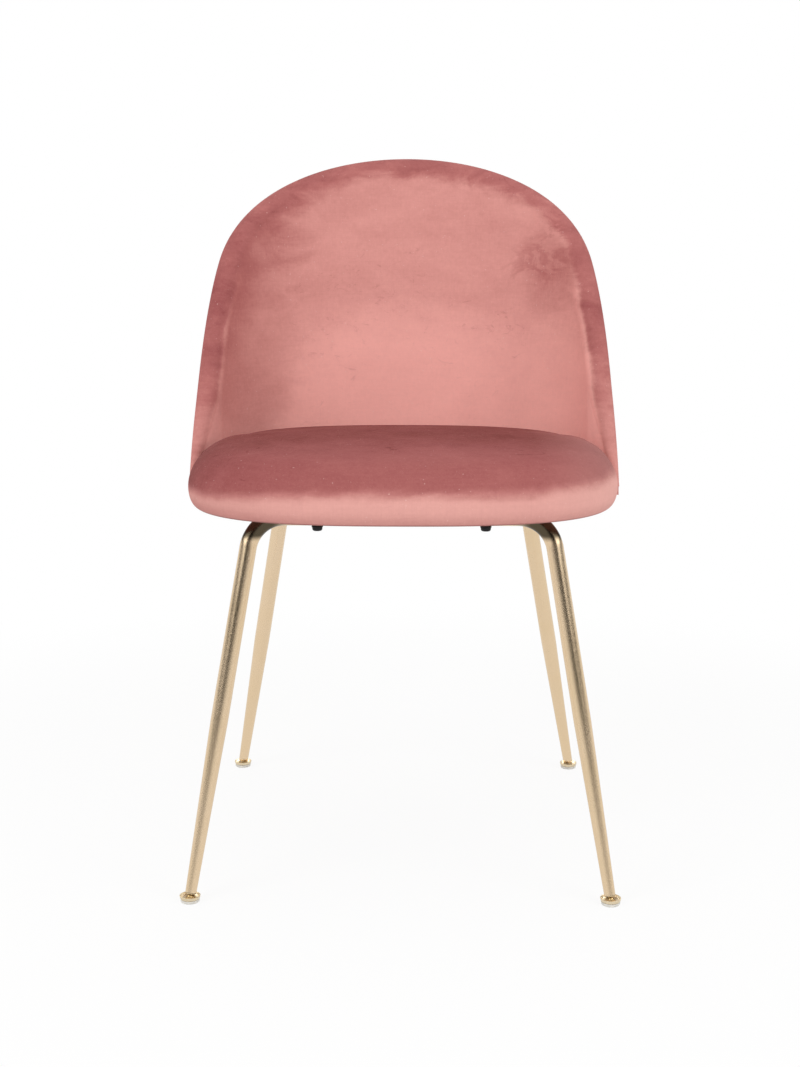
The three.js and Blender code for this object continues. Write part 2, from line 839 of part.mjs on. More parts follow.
// Angle brackets: places round the plan where the shell meets the seat
function bracketPlaces() {
  const places = [['rear', 0], ['left', -sideBracketDistance], ['right', sideBracketDistance]];
  return places.map(([name, distance]) => {
    const tangent = plan.getTangentAt(distance / planLength + 0.5);
    const base = backPoint(distance, bracketTop, layerDepths.plywoodEnd + bracketGap);
    return { name, base, turn: Math.atan2(tangent.y, tangent.x), leanOut: wallLean() * tangent.x };
  });
}

function wallLean() {
  return Math.tan(radians(leanDegrees));
}

// Moves a shape from a bracket's own frame to its place: X runs along the
// shell, Y out toward it, Z up from the top face of the flat leg
function toBracket(geometry, { base, turn }) {
  geometry.rotateZ(turn);
  geometry.translate(base.x, base.y, base.z);
  return geometry;
}

function angleBracket(place) {
  const { leanOut } = place;
  const profile = new THREE.Shape();
  profile.moveTo(-bracketReach, 0);
  profile.lineTo(-bracketReach, -bracketThickness);
  profile.lineTo(-bracketThickness * leanOut, -bracketThickness);
  profile.lineTo(bracketRise * leanOut, bracketRise);
  profile.lineTo(bracketRise * leanOut - bracketThickness, bracketRise);
  profile.lineTo(-bracketThickness, 0);
  const bar = new THREE.ExtrudeGeometry(profile, { depth: bracketWidth, bevelEnabled: false });
  bar.translate(0, 0, -bracketWidth / 2);
  bar.applyMatrix4(new THREE.Matrix4().makeBasis(
    new THREE.Vector3(0, 1, 0), new THREE.Vector3(0, 0, 1), new THREE.Vector3(1, 0, 0)));
  toBracket(bar, place);
  return cutFrom(bar, [seatScrewDrill(place), shellScrewDrill(place)]);
}

function bracketSlot(place) {
  const slot = new THREE.BoxGeometry(
    bracketWidth + 2 * fitGap, backThickness, bracketThickness + 2 * fitGap);
  slot.translate(0, -backThickness / 2, -bracketThickness / 2);
  return toBracket(slot, place);
}

function seatScrewDrill(place) {
  const drill = uprightPin(
    screwHoleRadius, -bracketThickness - cutOverrun, seatScrewLength + fitGap,
    0, seatScrewInset - bracketReach);
  return toBracket(drill, place);
}

function shellScrewDrill(place) {
  const length = 2 * (shellScrewLength + bracketThickness);
  const drill = new THREE.CylinderGeometry(screwHoleRadius, screwHoleRadius, length, roundSideCount);
  drill.rotateX(-Math.atan(place.leanOut));
  drill.translate(0, shellScrewRise * place.leanOut, shellScrewRise);
  return toBracket(drill, place);
}

// A flat-headed screw whose head rests on a plate of the bracket's thickness
function screw(length) {
  const head = -bracketThickness - fitGap;
  return turned([
    [0, head - screwHeadHeight],
    [screwHeadRadius * screwHeadShare, head - screwHeadHeight],
    [screwHeadRadius, head],
    [screwRadius, head],
    [screwRadius, length - screwRadius],
    [0, length],
  ]);
}

function seatScrew(place) {
  return toBracket(screw(seatScrewLength).translate(0, seatScrewInset - bracketReach, 0), place);
}

function shellScrew(place) {
  const geometry = screw(shellScrewLength).rotateX(-quarterTurn - Math.atan(place.leanOut));
  return toBracket(geometry.translate(0, shellScrewRise * place.leanOut, shellScrewRise), place);
}

const frontFrame = {
  name: 'front',
  footWidth: frontFootWidth,
  footDepth: frontFootDepth,
  kneeWidth: frontKneeWidth,
  kneeDepth: frontKneeDepth,
  boltWidth: frontBoltWidth,
};
const rearFrame = {
  name: 'rear',
  footWidth: rearFootWidth,
  footDepth: rearFootDepth,
  kneeWidth: rearKneeWidth,
  kneeDepth: rearKneeDepth,
  boltWidth: rearBoltWidth,
};

// Seat
addPiece('seat_board', seatBoard(), plywood);
addPiece('seat_foam', seatFoam(), foam);
addPiece('seat_cover', seatCover(), velvet);
addPiece('seat_dust_cover', seatDustCover(), dustCloth);

// Back
addPiece('back_shell', backShell(), plywood);
addPiece('back_foam', backFoam(), foam);
addPiece('back_wadding', backWadding(), wadding);
addPiece('back_cover_front', backCoverFront(), velvet);
addPiece('back_cover_rear', backCoverRear(), velvet);

// Leg frames, rails, and the bolts that hold them to the board
for (const frame of [frontFrame, rearFrame]) {
  addPiece(`${frame.name}_leg_frame`, legFrame(frame), goldMetal);
}
addPiece('frame_rail_left', frameRail(-1), goldMetal);
addPiece('frame_rail_right', frameRail(1), goldMetal);
for (const { x, y, name } of boltPlaces()) {
  addPiece(`bolt_${name}`, bolt(), blackSteel).position.set(x, y, 0);
  addPiece(`washer_${name}`, washer(), blackSteel).position.set(x, y, 0);
  addPiece(`tee_nut_${name}`, teeNut(), zincSteel).position.set(x, y, 0);
}

// Glides
for (const frame of [frontFrame, rearFrame]) {
  for (const [side, sideName] of [[-1, 'left'], [1, 'right']]) {
    const name = `${frame.name}_${sideName}`;
    const centre = ballCentre(frame, side);
    const upward = new THREE.Vector3(0, 0, 1);
    const lean = new THREE.Quaternion().setFromUnitVectors(upward, legDirection(frame, side));
    for (const [piece, geometry, material] of [
      ['leg_plug', legPlug(), plugPlastic],
      ['ball_stud', ballStud(), zincSteel],
    ]) {
      const mesh = addPiece(`${piece}_${name}`, geometry, material);
      mesh.position.copy(centre);
      mesh.quaternion.copy(lean);
    }
    addPiece(`glide_pad_${name}`, glidePad(), clearPlastic).position.set(centre.x, centre.y, 0);
    addPiece(`glide_cup_${name}`, glideCup(), goldMetal).position.set(centre.x, centre.y, 0);
  }
}

// Brackets between the board and the shell, with their screws
for (const place of bracketPlaces()) {
  addPiece(`bracket_${place.name}`, angleBracket(place), zincSteel);
  addPiece(`seat_screw_${place.name}`, seatScrew(place), zincSteel);
  addPiece(`shell_screw_${place.name}`, shellScrew(place), zincSteel);
}

// The chair stands on Z = 0 with the middle of its depth at Y = 0
const bounds = new THREE.Box3().setFromObject(chair, true);
chair.position.y = -(bounds.min.y + bounds.max.y) / 2;

export default chair;
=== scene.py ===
import json
import math
from bisect import bisect
import bpy
import bmesh
from mathutils import Matrix, Vector, kdtree, noise

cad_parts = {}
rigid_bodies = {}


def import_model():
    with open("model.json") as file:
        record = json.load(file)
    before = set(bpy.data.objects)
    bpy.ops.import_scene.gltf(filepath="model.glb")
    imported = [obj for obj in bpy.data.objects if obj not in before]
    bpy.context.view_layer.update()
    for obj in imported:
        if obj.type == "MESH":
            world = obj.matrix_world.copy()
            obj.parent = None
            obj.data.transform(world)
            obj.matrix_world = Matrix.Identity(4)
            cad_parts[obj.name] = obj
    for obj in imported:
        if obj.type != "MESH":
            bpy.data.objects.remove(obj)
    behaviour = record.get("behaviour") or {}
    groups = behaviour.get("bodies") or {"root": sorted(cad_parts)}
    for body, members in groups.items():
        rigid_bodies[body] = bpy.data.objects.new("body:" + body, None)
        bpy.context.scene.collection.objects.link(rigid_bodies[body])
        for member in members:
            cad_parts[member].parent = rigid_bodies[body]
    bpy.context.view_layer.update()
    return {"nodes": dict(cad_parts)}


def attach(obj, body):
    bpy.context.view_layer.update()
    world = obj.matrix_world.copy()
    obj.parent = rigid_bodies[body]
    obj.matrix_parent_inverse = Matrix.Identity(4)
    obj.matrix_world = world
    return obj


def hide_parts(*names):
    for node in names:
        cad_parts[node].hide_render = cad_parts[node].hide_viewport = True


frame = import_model()
nodes = frame["nodes"]
scene = bpy.context.scene
print("frame loaded:", len(nodes), "nodes")

# All lengths are metres
chair = {
    "planShift": 0.00051861,     # the plan's own origin, back of the chair's middle
    "shellHalfWidth": 0.2575,
    "shellHalfDepth": 0.205,
    "planCorner": 0.8,
    "lean": math.radians(10),
    "leanStart": 0.45,
    "backThickness": 0.028,
    "seatFrontDepth": 0.238,
    "tubeHeight": 0.3983,
}
sideNames = {-1: "left", 1: "right"}


# Small tools
def mix(low, high, share):
    return low + (high - low) * share


def smooth(value, low, high):
    share = min(1, max(0, (value - low) / (high - low)))
    return share * share * (3 - 2 * share)


def measured(pointAt, count=2400):
    points = [pointAt(step / count) for step in range(count + 1)]
    lengths = [0.0]
    for first, second in zip(points, points[1:]):
        lengths.append(lengths[-1] + (second - first).length)
    return points, lengths


def atLength(curve, length):
    points, lengths = curve
    index = min(max(bisect(lengths, length) - 1, 0), len(lengths) - 2)
    share = (length - lengths[index]) / (lengths[index + 1] - lengths[index])
    return points[index].lerp(points[index + 1], share)


def alongCurve(curve, length, reach=0.0015):
    tangent = atLength(curve, length + reach) - atLength(curve, length - reach)
    return atLength(curve, length), tangent.normalized()


def superellipse(turn, halfWidth, halfDepth, corner):
    across = math.copysign(abs(math.sin(turn)) ** corner, turn)
    return Vector((halfWidth * across, halfDepth * abs(math.cos(turn)) ** corner, 0))


def makePiece(name, bm, body, replaced=(), mats=(), shadeSmooth=True):
    mesh = bpy.data.meshes.new(name)
    bm.to_mesh(mesh)
    bm.free()
    piece = bpy.data.objects.new(name, mesh)
    scene.collection.objects.link(piece)
    for mat in mats:
        mesh.materials.append(mat)
    if shadeSmooth:
        mesh.shade_smooth()
    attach(piece, body)
    if replaced:
        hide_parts(*replaced)
    return piece


# Turns the faces so that the one nearest to a point looks along the direction
def faceAlong(bm, near, direction):
    sample = min(bm.faces, key=lambda f: (f.calc_center_median() - Vector(near)).length)
    if sample.normal.dot(Vector(direction)) < 0:
        bmesh.ops.reverse_faces(bm, faces=bm.faces)


def closeUp(bm, distance=1e-6):
    bmesh.ops.remove_doubles(bm, verts=bm.verts, dist=distance)
    bmesh.ops.recalc_face_normals(bm, faces=bm.faces)


def applyModifiers(piece):
    depsgraph = bpy.context.evaluated_depsgraph_get()
    mesh = bpy.data.meshes.new_from_object(piece.evaluated_get(depsgraph))
    old = piece.data
    piece.modifiers.clear()
    piece.data = mesh
    mesh.name = old.name
    bpy.data.meshes.remove(old)


def softenEdges(bm, angle, width):
    sharp = [e for e in bm.edges if len(e.link_faces) == 2
             and e.calc_face_angle(0) > math.radians(angle)]
    bmesh.ops.bevel(bm, geom=sharp, offset=width, offset_type="OFFSET", segments=2,
                    profile=0.5, affect="EDGES", material=-1, clamp_overlap=True)


# A profile of (across, height) pairs in the XZ plane, spun round Z
def spunProfile(profile, steps):
    bm = bmesh.new()
    dots = [bm.verts.new((across, 0, height)) for across, height in profile]
    for first, second in zip(dots, dots[1:]):
        bm.edges.new((first, second))
    if profile[0] == profile[-1]:
        bmesh.ops.remove_doubles(bm, verts=bm.verts, dist=1e-7)
    bmesh.ops.spin(bm, geom=bm.verts[:] + bm.edges[:], cent=(0, 0, 0), axis=(0, 0, 1),
                   angle=math.tau, steps=steps, use_merge=True)
    return bm


# A turned piece: its profile is spun, and its Z is then laid along the axis
def turnedPiece(name, profile, place, body, mat, axis=(0, 0, 1), steps=48, edge=0.0):
    bm = spunProfile(profile, steps)
    closeUp(bm)
    if edge:
        softenEdges(bm, 28, edge)
    turn = Vector((0, 0, 1)).rotation_difference(Vector(axis)).to_matrix().to_4x4()
    bm.transform(Matrix.Translation(place) @ turn)
    return makePiece(name, bm, body, [name], [mat])


# Materials
def tone(code):
    parts = [int(code[i:i + 2], 16) / 255 for i in (0, 2, 4)]
    return tuple(p / 12.92 if p <= 0.04045 else ((p + 0.055) / 1.055) ** 2.4 for p in parts) + (1,)


class Value:
    def __init__(self, paint, socket):
        self.paint, self.socket = paint, socket

    def math(self, operation, other, flip=False):
        pair = (other, self) if flip else (self, other)
        return self.paint.node("Math", {"operation": operation}, {0: pair[0], 1: pair[1]})

    def __add__(self, other): return self.math("ADD", other)
    def __radd__(self, other): return self.math("ADD", other)
    def __sub__(self, other): return self.math("SUBTRACT", other)
    def __rsub__(self, other): return self.math("SUBTRACT", other, True)
    def __mul__(self, other): return self.math("MULTIPLY", other)
    def __rmul__(self, other): return self.math("MULTIPLY", other)


class Paint:
    def __init__(self, name, preview=(0.5, 0.5, 0.5, 1), owner=None):
        self.owner = owner or bpy.data.materials.new(name)
        self.owner.use_nodes = True
        if owner is None:
            self.owner.diffuse_color = preview
        self.tree = self.owner.node_tree
        self.tree.nodes.clear()

    def node(self, kind, settings=None, inputs=None, output=0):
        made = self.tree.nodes.new("ShaderNode" + kind)
        for name, value in (settings or {}).items():
            if name == "stops":
                ramp = made.color_ramp
                while len(ramp.elements) < len(value):
                    ramp.elements.new(0.5)
                for element, (place, colour) in zip(ramp.elements, value):
                    element.position, element.color = place, colour
            else:
                setattr(made, name, value)
        for name, value in (inputs or {}).items():
            if isinstance(value, Value):
                self.tree.links.new(value.socket, made.inputs[name])
            else:
                made.inputs[name].default_value = value
        return Value(self, made.outputs[output]) if len(made.outputs) else None

    def place(self):
        return self.node("TexCoord", output="Object")

    def uv(self, name):
        return self.node("UVMap", {"uv_map": name})

    def parts(self, vector):
        first = self.node("SeparateXYZ", {}, {0: vector})
        return [Value(self, first.socket.node.outputs[i]) for i in range(3)]

    def rays(self):
        first = self.node("LightPath").socket.node.outputs
        names = ("Is Camera Ray", "Is Glossy Ray", "Is Transmission Ray")
        return [Value(self, first[name]) for name in names]

    def stretch(self, vector, scale):
        return self.node("Mapping", {}, {"Vector": vector, "Scale": scale})

    def noise(self, vector, scale, detail=3, roughness=0.55, distortion=0.0):
        return self.node("TexNoise", {}, {"Vector": vector, "Scale": scale, "Detail": detail,
                                          "Roughness": roughness, "Distortion": distortion})

    def step(self, value, low, high):
        return self.node("MapRange", {"interpolation_type": "SMOOTHSTEP"},
                         {0: value, 1: low, 2: high, 3: 0.0, 4: 1.0})

    def spot(self, x, z, centre, radius):
        across, up = (x - centre[0]) * (1 / radius[0]), (z - centre[1]) * (1 / radius[1])
        return 1 - self.step(across * across + up * up, 0.0, 1.0)

    def blend(self, factor, first, second):
        return self.node("Mix", {"data_type": "RGBA"}, {0: factor, 6: first, 7: second}, output=2)

    def bump(self, height, strength, distance, normal=None):
        inputs = {"Height": height, "Strength": strength, "Distance": distance}
        if normal:
            inputs["Normal"] = normal
        return self.node("Bump", {}, inputs)

    def surface(self, inputs):
        shader = self.node("BsdfPrincipled", {}, inputs)
        self.node("OutputMaterial", {}, {"Surface": shader})
        return self.owner


# Painted light and shade of the velvet, with its crush marks added: a level of 0 is painted shade,
# 1 is pile that faces the light
velvet = {
    "stops": ((0.0, "6A2927"), (0.2, "995554"), (0.4, "B56F6B"), (0.6, "D08E87"), (0.8, "E6A39B"),
              (1.0, "F6B1A8")),
    "sheen": 0.08,
    "thread": 0.05,
    # the back's face is painted light, as it faces the light
    "backLitLevel": 0.7,
    "rearLevel": 0.6,
}


def velvetColour(paint, paintedLightAndCrush, place):
    ramp = paint.node("ValToRGB", {"stops": [(at, tone(code)) for at, code in velvet["stops"]]},
                      {"Fac": paintedLightAndCrush})
    fleck = paint.step(paint.noise(place, 1100, 1), 0.66, 0.8)
    lint = paint.step(paint.noise(place, 420, 0), 0.82, 0.85)
    freckled = paint.blend(fleck * 0.18, ramp, tone("F4CDC4"))
    return paint.blend(lint * 0.25, freckled, tone("F2D6CF"))


# The dust argument is a painted sheen: that share of a paler pink is blended over the pile where it
# catches the light
def velvetSurface(paint, paintedLightAndCrush, place, crush, dust=0.0):
    pile = paint.noise(place, 1500, 2, 0.7)
    soft = paint.noise(place, 60, 3)
    normal = paint.bump(soft, 0.2, 0.002, paint.bump(pile, 0.3, 0.0005))
    return paint.surface({
        "Base Color": paint.blend(dust, velvetColour(paint, paintedLightAndCrush, place), tone("E6BDB2")),
        "Roughness": 0.92 - 0.1 * crush,
        "Specular IOR Level": 0.12, "Sheen Weight": velvet["sheen"], "Sheen Roughness": 0.4,
        "Sheen Tint": tone("F3C9BF"), "Normal": normal})


# Crush marks: broad soft blots of pile that lies another way, smears along the weft, fine marks
# with short creases here and there, and the faint threads of the ground weave
def crushMarks(paint, place):
    broad = paint.noise(paint.stretch(place, (1, 1, 1.5)), 6.5, 3, 0.55, 0.5) - 0.5
    smears = paint.noise(paint.stretch(place, (1, 1, 2.0)), 20, 4, 0.6, 0.6) - 0.5
    fine = paint.noise(paint.stretch(place, (1, 1, 1.6)), 170, 3, 0.7) - 0.5
    crease = paint.step(paint.noise(paint.stretch(place, (1, 1, 1.7)), 42, 4, 0.75, 1.4), 0.58, 0.7)
    fine = fine - crease * paint.step(paint.noise(place, 8, 1), 0.5, 0.62) * 0.9
    warp = paint.noise(paint.stretch(place, (60, 60, 1)), 9, 2, 0.7) - 0.5
    weft = paint.noise(paint.stretch(place, (1, 1, 60)), 9, 2, 0.7) - 0.5
    return broad, smears, fine, (warp * 1.7 + weft) * velvet["thread"]


# Patches that move the back's painted light level: middle (x, z), half widths, how much lighter,
# and how far the smears move its edge across and up, and the broad blots up. The broad first one
# over the lower middle is a painted pool of light; the others lie near the sides
backMarks = (
    ((0.02, 0.46), (0.26, 0.2), 0.22, 0.0, 0.0, 0.0),
    ((-0.19, 0.56), (0.07, 0.18), -0.13, 0.06, 0.0, 0.0),
    ((-0.235, 0.64), (0.06, 0.11), -0.22, 0.0, 0.0, 0.0),
    ((-0.18, 0.69), (0.07, 0.05), -0.12, 0.06, 0.0, 0.0),
    ((0.183, 0.655), (0.045, 0.07), -0.16, 0.06, 0.0, 0.06),
    ((0.17, 0.675), (0.03, 0.04), -0.1, 0.2, 0.15, 0.0),
    ((0.2, 0.52), (0.07, 0.12), 0.1, 0.0, 0.0, 0.0),
)


def backVelvet():
    paint = Paint("velvetBackFront", tone("D28F88"))
    place = paint.place()
    x, _, z = paint.parts(place)
    edge = paint.parts(paint.uv("nap"))[0]
    broad, smears, fine, threads = crushMarks(paint, place)
    # Painted shade along the rim: the distance from the rim, scaled on the sides and at the top
    # right, sets how wide the darker band over the roll is
    sideways = paint.step(x * x, 0.014, 0.05)
    lowSides = sideways * (1 - paint.step(z, 0.57, 0.68))
    topRight = paint.step(x, 0.0, 0.05) * paint.step(z, 0.68, 0.74)
    edge = edge * (1 + 0.7 * sideways + lowSides - 0.25 * topRight) + broad * 0.03 + smears * 0.02
    # The face's painted light level: light, as it faces the light, a little darker high up; the
    # patches below add to it
    paintedLightAndCrush = velvet["backLitLevel"] - 0.06 * paint.step(z, 0.6, 0.72) + broad * 0.32 + smears * 0.14
    for centre, radius, amount, sway, lift, drift in backMarks:
        across, up = x + smears * sway, z + smears * lift + broad * drift
        paintedLightAndCrush = paintedLightAndCrush + amount * paint.spot(across, up, centre, radius)
    # A painted highlight: a light streak where the face turns over into the roll, on the sides
    # below the shoulders
    leftSide = 1 - paint.step(x, -0.16, -0.02)
    paintedHighlight = paint.step(edge, 0.016, 0.032) * (1 - paint.step(edge, 0.036, 0.06)) * sideways
    paintedLightAndCrush = paintedLightAndCrush + paintedHighlight * 0.17 * (1 - paint.step(z, 0.6, 0.7)) * (0.5 + smears * 2.4)
    # Painted shade on the rim's roll: the band is darker than the face, lighter low down, softer on
    # the upper left, with a darker spot on the left shoulder
    leftSoft = leftSide * paint.step(z, 0.56, 0.66)
    inside = paint.step(edge, 0.008 - 0.004 * leftSoft, 0.026 + 0.024 * leftSoft)
    low = 1 - paint.step(z, 0.42 + 0.04 * leftSide, 0.58)
    band = 0.34 + (0.3 - 0.1 * leftSide) * low + smears * 0.4 + broad * 0.25
    band = band - 0.1 * paint.spot(x, z, (-0.22, 0.64), (0.06, 0.08))
    paintedLightAndCrush = inside * paintedLightAndCrush + (1 - inside) * band + fine * 0.14 + threads
    return velvetSurface(paint, paintedLightAndCrush, place, smears)


def seatVelvet():
    paint = Paint("velvetSeat", tone("C27C75"))
    place = paint.place()
    x, y, z = paint.parts(place)
    broad, smears, fine, threads = crushMarks(paint, place)
    # Painted light and shade: the top, turned up, is painted dark, darkest at the rear; the front
    # roll below a wavering line is painted light; the left end is darker and the right end lighter
    rightEnd, leftEnd = paint.step(x, 0.13, 0.24), 1 - paint.step(x, -0.24, -0.1)
    line = 0.437 - 0.012 * leftEnd + 0.006 * rightEnd + broad * 0.012 + smears * 0.01
    front = 1 - paint.step(z - line, -0.012, 0.006)
    top = 0.055 + 0.22 * (1 - paint.step(y, -0.25, -0.05)) + 0.12 * rightEnd
    # Painted shade low on the roll, darker towards its bottom edge
    roll = 0.7 - 0.2 * leftEnd - 0.18 * (1 - paint.step(z, 0.404, 0.42))
    roll = roll - 0.6 * (1 - paint.step(z, 0.402, 0.405))      # painted shade on the underside, which the knees of the front legs reflect dark
    paintedLightAndCrush = top + front * (roll - top) + broad * 0.14 + smears * 0.1 + fine * 0.12 + threads
    # The front roll and the right end get a painted sheen, passed as dust
    return velvetSurface(paint, paintedLightAndCrush, place, smears, front * 0.22 + 0.12 * rightEnd)


def rearVelvet():
    paint = Paint("velvetBackRear", tone("C27C75"))
    place = paint.place()
    broad, smears, fine, threads = crushMarks(paint, place)
    paintedLightAndCrush = velvet["rearLevel"] + broad * 0.45 + smears * 0.3 + fine * 0.14 + threads
    return velvetSurface(paint, paintedLightAndCrush, place, smears)


def champagneMetal():
    paint = Paint("champagneMetal", tone("D9C193"))
    place = paint.place()
    grain = paint.noise(paint.stretch(place, (1, 1, 0.06)), 900, 3, 0.6)
    cloud = paint.noise(place, 14, 3)
    grit = paint.noise(place, 1400, 2)
    colour = paint.blend(cloud, tone("E2C8A1"), tone("EAD2B5"))
    colour = paint.blend(grain * 0.2, colour, tone("A99571"))
    x, _, z = paint.parts(place)
    # Painted reflection: the tops of the leg frames' outer bends, just under the seat, are painted
    # near black
    bend = paint.step(z + cloud * 0.004, 0.3745, 0.3825) * paint.step(x * x, 0.013, 0.02)
    colour = paint.blend(bend * 0.92, colour, tone("332E22"))      # painted reflection of the seat's shaded underside at the bends
    normal = paint.bump(grit, 0.03, 0.0002, paint.bump(grain, 0.06, 0.0003))
    return paint.surface({
        "Base Color": colour, "Metallic": 1.0, "Roughness": 0.17 + 0.12 * grain + 0.05 * cloud,
        "Normal": normal})


def plainMetal(name, light, dark, roughness, metallic=1.0):
    paint = Paint(name, tone(light))
    place = paint.place()
    cloud = paint.noise(place, 60, 4)
    grit = paint.noise(place, 1600, 2)
    colour = paint.blend(cloud, tone(dark), tone(light))
    return paint.surface({
        "Base Color": colour, "Metallic": metallic, "Roughness": roughness + 0.15 * cloud,
        "Normal": paint.bump(grit, 0.15, 0.0003)})


# With a height given, what lies above it is painted tan, a painted reflection of the gold cup with
# the shade inside it, as on the collar round a ball
def plasticFinish(name, light, dark, roughness, glow=0.0, cupShadeFrom=None):
    paint = Paint(name, tone(light))
    place = paint.place()
    cloud = paint.noise(place, 45, 3)
    grain = paint.noise(place, 1900, 2)
    colour = paint.blend(cloud, tone(dark), tone(light))
    if cupShadeFrom:
        cupShade = paint.step(paint.parts(place)[2], cupShadeFrom, cupShadeFrom + 0.0012) * 0.9
        colour = paint.blend(cupShade, colour, tone("B4935F"))
    inputs = {"Base Color": colour, "Roughness": roughness + 0.1 * cloud,
              "Normal": paint.bump(grain, 0.12, 0.0002)}
    if glow:
        inputs.update({"Subsurface Weight": glow, "Subsurface Radius": (0.004, 0.004, 0.004)})
    return paint.surface(inputs)


def plywoodFinish():
    paint = Paint("plywood", tone("C9A877"))
    place = paint.place()
    grain = paint.noise(paint.stretch(place, (1.5, 14, 60)), 9, 5, 0.6, 1.2)
    pores = paint.noise(paint.stretch(place, (3, 60, 60)), 22, 3)
    colour = paint.blend(grain, tone("B08B5A"), tone("DABD8E"))
    colour = paint.blend(paint.step(pores, 0.6, 0.8) * 0.5, colour, tone("8A6A42"))
    return paint.surface({"Base Color": colour, "Roughness": 0.62 + 0.15 * grain,
                          "Normal": paint.bump(pores, 0.3, 0.0006)})


def foamFinish(name, light, dark, cell):
    paint = Paint(name, tone(light))
    place = paint.place()
    cells = paint.node("TexVoronoi", {"feature": "F1"}, {"Vector": place, "Scale": cell})
    cloud = paint.noise(place, 30, 3)
    colour = paint.blend(cells * 0.6 + cloud * 0.4, tone(dark), tone(light))
    return paint.surface({"Base Color": colour, "Roughness": 0.94 - 0.06 * cloud,
                          "Normal": paint.bump(cells, 0.5, 0.001)})


def dustClothFinish():
    paint = Paint("dustCloth", tone("232326"))
    place = paint.place()
    fibre = paint.noise(paint.stretch(place, (1, 0.35, 1)), 420, 4, 0.7, 1.5)
    dots = paint.node("TexVoronoi", {"feature": "F1"}, {"Vector": place, "Scale": 650})
    pressed = 1 - paint.step(dots, 0.1, 0.35)
    colour = paint.blend(fibre, tone("19191B"), tone("303034"))
    colour = paint.blend(pressed * 0.5, colour, tone("121214"))
    return paint.surface({"Base Color": colour, "Roughness": 0.85 + 0.1 * fibre,
                          "Normal": paint.bump(pressed * -1.0 + fibre, 0.4, 0.0004)})


finish = {
    "backVelvet": backVelvet(),
    "seatVelvet": seatVelvet(),
    "rearVelvet": rearVelvet(),
    "champagne": champagneMetal(),
    "blackSteel": plainMetal("blackSteel", "2A2A2C", "161617", 0.38, 0.6),
    "zincSteel": plainMetal("zincSteel", "C4C7CB", "9A9EA4", 0.3),
    "yellowZinc": plainMetal("yellowZinc", "D6BD8B", "B39663", 0.34),
    "plug": plasticFinish("plugPlastic", "CDBB98", "B7A481", 0.45),
    # above 3.2 mm the pad is painted tan, a painted reflection of the cup with its shade
    "pad": plasticFinish("padPlastic", "E4E2DC", "D2CFC8", 0.3, 0.25, 0.0032),
    "cup": plainMetal("champagneSatin", "E8DABF", "D0BE9C", 0.3),
    "plywood": plywoodFinish(),
    "foam": foamFinish("seatFoamFinish", "EADFB8", "D8C998", 900),
    "wadding": foamFinish("waddingFinish", "F4F2EC", "E2DFD6", 500),
    "dustCloth": dustClothFinish(),
}
print("materials made:", len(finish))

# The finish of each CAD node, by the first word here that its name holds
nodeFinish = {
    "screw": "zincSteel", "foam": "foam", "wadding": "wadding", "board": "plywood",
    "shell": "plywood", "rail": "champagne", "bracket": "zincSteel", "tee_nut": "zincSteel",
    "stud": "yellowZinc", "plug": "plug", "washer": "blackSteel", "bolt": "blackSteel",
    "leg_frame": "champagne", "glide_pad": "pad", "glide_cup": "cup", "dust": "dustCloth",
}
for nodeName, node in nodes.items():
    chosen = [finish[value] for word, value in nodeFinish.items() if word in nodeName]
    if chosen:
        node.data.materials.clear()
        node.data.materials.append(chosen[0])


# The back
back = {
    "bottom": 0.398,
    "top": 0.8012,
    "topHandle": 0.146,
    "shoulder": (0.2663, 0.6763),
    "shoulderHandle": 0.058,
    "flank": math.radians(63),
    "flankHandle": 0.084,
    "tip": (0.3521, 0.409),
    "tipTaper": 0.034,
    "tipThickness": 0.4,
    "rollMiddle": 0.012,         # depth of the rim's outermost line
    "outerRoll": 0.010,
    "innerRoll": 0.018,
    "seam": 0.012,
    "tuck": 0.0013,              # both covers dip into the seam
    "coverThickness": 0.0015,
    "archColumns": 46,
    "sideColumns": 34,
    "faceRows": 74,
    "rollRows": 8,
    "rearRows": 60,
    "turnedUnder": (0.0262, 0.018, 0.01, 0.004, 0.0015),
    "rearFlat": (0.72, 0.44),
    "uneven": ((9, 0.0011), (21, 0.0005)),   # the foam's waves: how often, how deep
}

plan = measured(lambda share: superellipse((share - 0.5) * math.pi, chair["shellHalfWidth"],
                                           chair["shellHalfDepth"], chair["planCorner"]))
planHalf = plan[1][-1] / 2


def backPoint(distance, height, depth):
    point, tangent = alongCurve(plan, planHalf + distance)
    point = point + Vector((tangent.y, -tangent.x, 0)) * depth
    leanBack = (height - chair["leanStart"]) * math.tan(chair["lean"])
    return Vector((point.x, point.y + leanBack + chair["planShift"], height))


def bezier(points, share):
    while len(points) > 1:
        points = [a.lerp(b, share) for a, b in zip(points, points[1:])]
    return points[0]


def rimPath():
    flank = Vector((math.cos(back["flank"]), -math.sin(back["flank"])))
    shoulder = Vector(back["shoulder"])
    arch = [Vector((0, back["top"])), Vector((back["topHandle"], back["top"])),
            shoulder - flank * back["shoulderHandle"], shoulder]
    side = [shoulder, shoulder + flank * back["flankHandle"], Vector(back["tip"])]
    return (measured(lambda share: bezier(arch, share), 600),
            measured(lambda share: bezier(side, share), 600))


rimArch, rimSide = rimPath()


def rimStations():
    found = []
    for curve, count in ((rimArch, back["archColumns"]), (rimSide, back["sideColumns"])):
        whole = curve[1][-1]
        for step in range(count + 1):
            if curve is rimSide and step == 0:
                continue
            length = whole * step / count
            point = atLength(curve, length)
            first = atLength(curve, max(0, length - 0.001))
            second = atLength(curve, min(whole, length + 0.001))
            found.append((point, (second - first).normalized()))
    right = [(1, point, tangent) for point, tangent in found]
    left = [(-1, point, tangent) for point, tangent in reversed(found[1:])]
    return left + right


